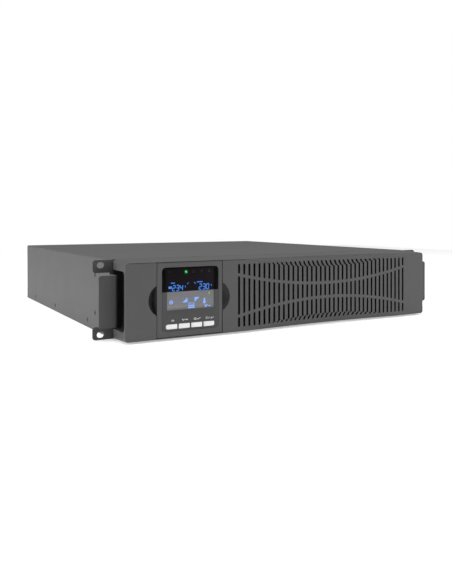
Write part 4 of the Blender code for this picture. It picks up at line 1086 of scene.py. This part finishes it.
def make_ports():
    x, z = BREAKER
    case = ((x - 7, x + 7), (432, REAR_FACE - 1.5), (z - 12, z + 12))
    body = blocks("breaker_moulding", [case], 0.6, BLACK)
    profile = [(0, 460), (6.9, 460), (6.9, 474.2), (6.5, 474.7), (0, 474.7)]
    bush = lathe("bush", profile, "Y", (x, 0, z), BLACK, 40)
    nut = plate("nut", [rounded(circle(10, BREAKER, 6), 0.6)], "Y", (OUTER, OUTER + 2.4), BLACK, 0.3)
    join(body, bush, nut)
    cut(body, lathe("bore", [(0, 451.5), (4.5, 451.5), (4.5, 480), (0, 480)], "Y", (x, 0, z), None, 40))
    fit(crisp(body), "chassis", "black_plastic", "breaker_body")
    low, high = depth_box("breaker_button")[1]
    profile = [(0, low), (4.0, low), (4.0, high - 1.0), (3.7, high - 0.45), (3.0, high - 0.12)]
    profile += [(1.6, high - 0.25), (0, high - 0.4)]
    cap = lathe("breaker_cap", profile, "Y", (x, 0, z), BLACK, 40)
    fit(cap, "reset_button", "black_plastic", "breaker_button")

    for label, side in SIDES:
        place_x, z = CARD_SLOT[0] + side * 29, CARD_SLOT[1]
        low, high = depth_box(f"thumb_screw_{label}")[1]
        start = REAR_FACE + GAP + 1.2 + GAP
        profile = [(0, high - 0.9), (2.4, high - 0.9), (2.9, high - 0.15), (3.3, high), (3.8, high - 0.2)]
        profile += [(4.2, high - 0.7), (4.2, start + 1.2), (3.6, start + 0.5), (3.6, start), (1.5, start)]
        profile += [(1.5, low), (0, low)]
        knob = lathe(f"thumb_knob_{label}", profile, "Y", (place_x, 0, z), ZINC, 56, 0.3)
        fit(knob, "chassis", "zinc", f"thumb_screw_{label}")

    x, z = USB
    shell = plate("usb_shell", [around(USB, 6, 5.6, 0.9)], "Y", (454, REAR_FACE + 0.6), ZINC, 0.2)
    outline = [(-4.3, -3.9), (4.3, -3.9), (4.3, 2.4), (2.9, 3.9), (-2.9, 3.9), (-4.3, 2.4)]
    mouth = rounded([(x + u, z + v) for u, v in outline], 0.3)
    cut(shell, plate("usb_mouth", [mouth], "Y", (461, 480)))
    fit(shell, "chassis", "zinc", "usb_port")
    tongue = ((x - 2.8, x + 2.8), (460.8, 468.6), (z - 1.5, z + 1.5))
    fit(blocks("usb_tongue", [tongue], 0.2, WHITE), "chassis", "white_key")
    contacts = []
    for u in (x - 1.3, x + 1.3):
        for v in (z - 1.56, z + 1.56):
            contacts.append(((u - 0.4, u + 0.4), (461.5, 468.2), (v - 0.08, v + 0.08)))
    fit(blocks("usb_contacts", contacts, 0, BRASS), "chassis", "zinc")

    x, z = SERIAL
    tabs = plate("serial_shell", [around(SERIAL, 15.4, 6.2, 1.2)], "Y", (OUTER, OUTER + 1), ZINC, 0.2)
    outer = rounded([(x - 8.4, z - 4.6), (x + 8.4, z - 4.6), (x + 9.2, z + 4.6), (x - 9.2, z + 4.6)], 1.6)
    inner = rounded([(x - 7.9, z - 4.1), (x + 7.9, z - 4.1), (x + 8.7, z + 4.1), (x - 8.7, z + 4.1)], 1.4)
    join(tabs, plate("barrel", [outer], "Y", (454, REAR_FACE + 6), ZINC, 0.15))
    cut(tabs, plate("barrel_mouth", [inner], "Y", (468, 480)))
    fit(crisp(tabs), "chassis", "zinc", "serial_port")
    outline = [(x + (u - x) * 0.97, z + (v - z) * 0.95) for u, v in inner]
    insert = plate("serial_insert", [outline], "Y", (467.8, REAR_FACE + 5.2), BLACK, 0.2)
    pins = [(x + 2.77 * (k - 2), z + 1.42) for k in range(5)]
    pins += [(x + 2.77 * (k - 1.5), z - 1.42) for k in range(4)]
    cut(insert, plate("pin_holes", [circle(0.62, pin, 12) for pin in pins], "Y", (470, 480)))
    fit(insert, "chassis", "black_plastic")
    posts = []
    for k, u in enumerate((-12.5, 12.5)):
        post = plate(f"post_{k}", [circle(2.6, (x + u, z), 6)], "Y", (OUTER + 1, OUTER + 5.2), ZINC, 0.2)
        thread = [(0, 472), (1.3, 472), (1.3, 478), (0, 478)]
        posts.append(cut(post, lathe("thread", thread, "Y", (x + u, 0, z), None, 16)))
    fit(gather("serial_posts", posts), "chassis", "zinc")

    x, z = STOP_BLOCK
    body = ((x - 7.8, x + 7.8), (456, REAR_FACE + 3), (z - 4.6, z + 4.6))
    block = blocks("stop_moulding", [body], 0.5, GREEN)
    ways = [around((x + u, z - 1.1), 1.9, 1.5, 0.4) for u in (-3.8, 3.8)]
    dimples = [circle(1.7, (x + u, z + 2.4), 20) for u in (-3.8, 3.8)]
    cut(block, plate("ways", ways, "Y", (464, 480)), plate("dimples", dimples, "Y", (471.2, 480)))
    fit(crisp(block), "chassis", "green_plastic", "stop_terminal")
    rear_screws("stop_screws", [(x + u, z + 2.4) for u in (-3.8, 3.8)], 472.0, 1.5, 0.5, None, 1.0)


def make_rear_fixings():
    places = [(side * 209, z) for _, side in SIDES for z in (14, 44, 74)] + [(30, 80.5), (-42, 80.5)]
    rear_screws("panel_screws", places, REAR_FACE + 1.35, 2.8, 1.2, DARK_SCREW)


# ---------------------------------------------------------------- carried-over nodes

CARRIED = (
    (CASE, 0.45, ("top_cover", "base_tray", "rear_panel", "card_slot_cover")),
    # Black plastic on the front bulkhead and battery door is painted shade behind the grille's slots.
    (BLACK, 0.3, ("front_bulkhead", "battery_door")),
    (INNER, 0.3, ("divider_wall", "battery_tray", "battery_clamp")),
    (EAR_SHADED_COAT, 0.35, ("rack_ear_left", "rack_ear_right")),
    (BATTERY, 1.2, ("battery_1", "battery_2", "battery_3", "battery_4")),
    (BOARD, 0.15, ("main_board", "control_board", "display_board")),
    (ALUMINIUM, 0.25, ("heatsink_left", "heatsink_right")),
    (SLEEVE, 0.9, ("capacitor_1", "capacitor_2")),
    (COPPER, 0.0, ("filter_choke",)),
    (LAMINATIONS, 0.8, ("transformer",)),
    (SHADOW, 0.2, ("lcd_panel",)),
)


def dress_nodes():
    """Every CAD node that stays gets its finish and, where it has hard edges, rounded ones."""
    for skin, edge, names in CARRIED:
        for name in names:
            piece = NODES[name]
            piece.data.materials.clear()
            piece.data.materials.append(skin)
            if edge:
                bevel = piece.modifiers.new("edges", "BEVEL")
                bevel.width = edge * MM
                bevel.segments = 3
                bevel.limit_method = "ANGLE"
                bevel.angle_limit = math.radians(40)
                bevel.harden_normals = True


make_bezel()
make_housing()
make_keys()
make_marks()
make_side_screws()
make_fans()
make_sockets()
make_ports()
make_rear_fixings()
dress_nodes()


# ---------------------------------------------------------------- studio


def floor_material():
    graph = Graph("paper_floor")
    fine = graph.noise(3.0, 3.0)
    pale = graph.scaled((0.9, 0.9, 0.9), graph.ramp(fine, 0.3, 0.7, 0.995, 1.0))
    graph.feed(graph.shader.inputs["Base Color"], pale)
    graph.feed(graph.shader.inputs["Roughness"], graph.ramp(fine, 0.3, 0.7, 0.9, 0.95))
    graph.shader.inputs["Specular IOR Level"].default_value = 0.0
    graph.shader.inputs["Emission Color"].default_value = (1, 1, 1, 1)
    graph.shader.inputs["Emission Strength"].default_value = FLOOR_LIFT
    return graph.material


def soft_light(name, at, aim, size, power):
    data = bpy.data.lights.new(name, "AREA")
    data.shape = "RECTANGLE"
    data.size, data.size_y = size
    data.energy = power
    lamp_object = bpy.data.objects.new(name, data)
    lamp_object.location = at
    lamp_object.rotation_euler = (Vector(aim) - Vector(at)).to_track_quat("-Z", "Y").to_euler()
    bpy.context.scene.collection.objects.link(lamp_object)


# Lengths are in metres from here.
FLOOR_LIFT = 0.42  # the floor's own light
FLOOR_HALF = 1.7
FLOOR_DROP = 0.0004
AMBIENT = 0.36
SOFTBOXES = (  # name, place, aim, size, watts
    ("top_softbox", (0.0, -0.45, 1.9), (0, -0.1, 0), (1.3, 1.3), 24),
    ("left_softbox", (-2.0, 0.35, 0.8), (-0.2, 0.1, 0.05), (1.0, 1.0), 26),
    ("right_softbox", (1.1, -1.2, 0.6), (0.2, -0.24, 0.05), (0.6, 0.8), 6),
)
CAMERA_PLACE = (-0.45283, -0.86940, 0.13276)
CAMERA_TURN = -29.46  # degrees about Z
CAMERA_LENS = 38.92
CAMERA_RISE = -0.125
floor_mesh = bpy.data.meshes.new("floor")
corners = [(FLOOR_HALF * u, FLOOR_HALF * v, -FLOOR_DROP) for u, v in ((-1, -1), (1, -1), (1, 1), (-1, 1))]
floor_mesh.from_pydata(corners, [], [(0, 1, 2, 3)])
floor = bpy.data.objects.new("floor", floor_mesh)
floor_mesh.materials.append(floor_material())
bpy.context.scene.collection.objects.link(floor)

world = bpy.data.worlds.new("studio")
bpy.context.scene.world = world
world.use_nodes = True
sky = world.node_tree.nodes["Background"]
sky.inputs["Color"].default_value = (1, 1, 1, 1)
seen = world.node_tree.nodes.new("ShaderNodeLightPath")
brightness = world.node_tree.nodes.new("ShaderNodeMapRange")
brightness.inputs["To Min"].default_value = AMBIENT
brightness.inputs["To Max"].default_value = 1.0
world.node_tree.links.new(seen.outputs["Is Camera Ray"], brightness.inputs["Value"])
world.node_tree.links.new(brightness.outputs[0], sky.inputs["Strength"])
for softbox in SOFTBOXES:
    soft_light(*softbox)

camera_data = bpy.data.cameras.new("camera")
camera_data.lens = CAMERA_LENS
camera_data.sensor_width = 36
camera_data.shift_y = CAMERA_RISE
camera = bpy.data.objects.new("camera", camera_data)
camera.location = CAMERA_PLACE
camera.rotation_euler = (math.pi / 2, 0, math.radians(CAMERA_TURN))
bpy.context.scene.collection.objects.link(camera)
bpy.context.scene.camera = camera
bpy.context.scene.view_settings.view_transform = "Standard"
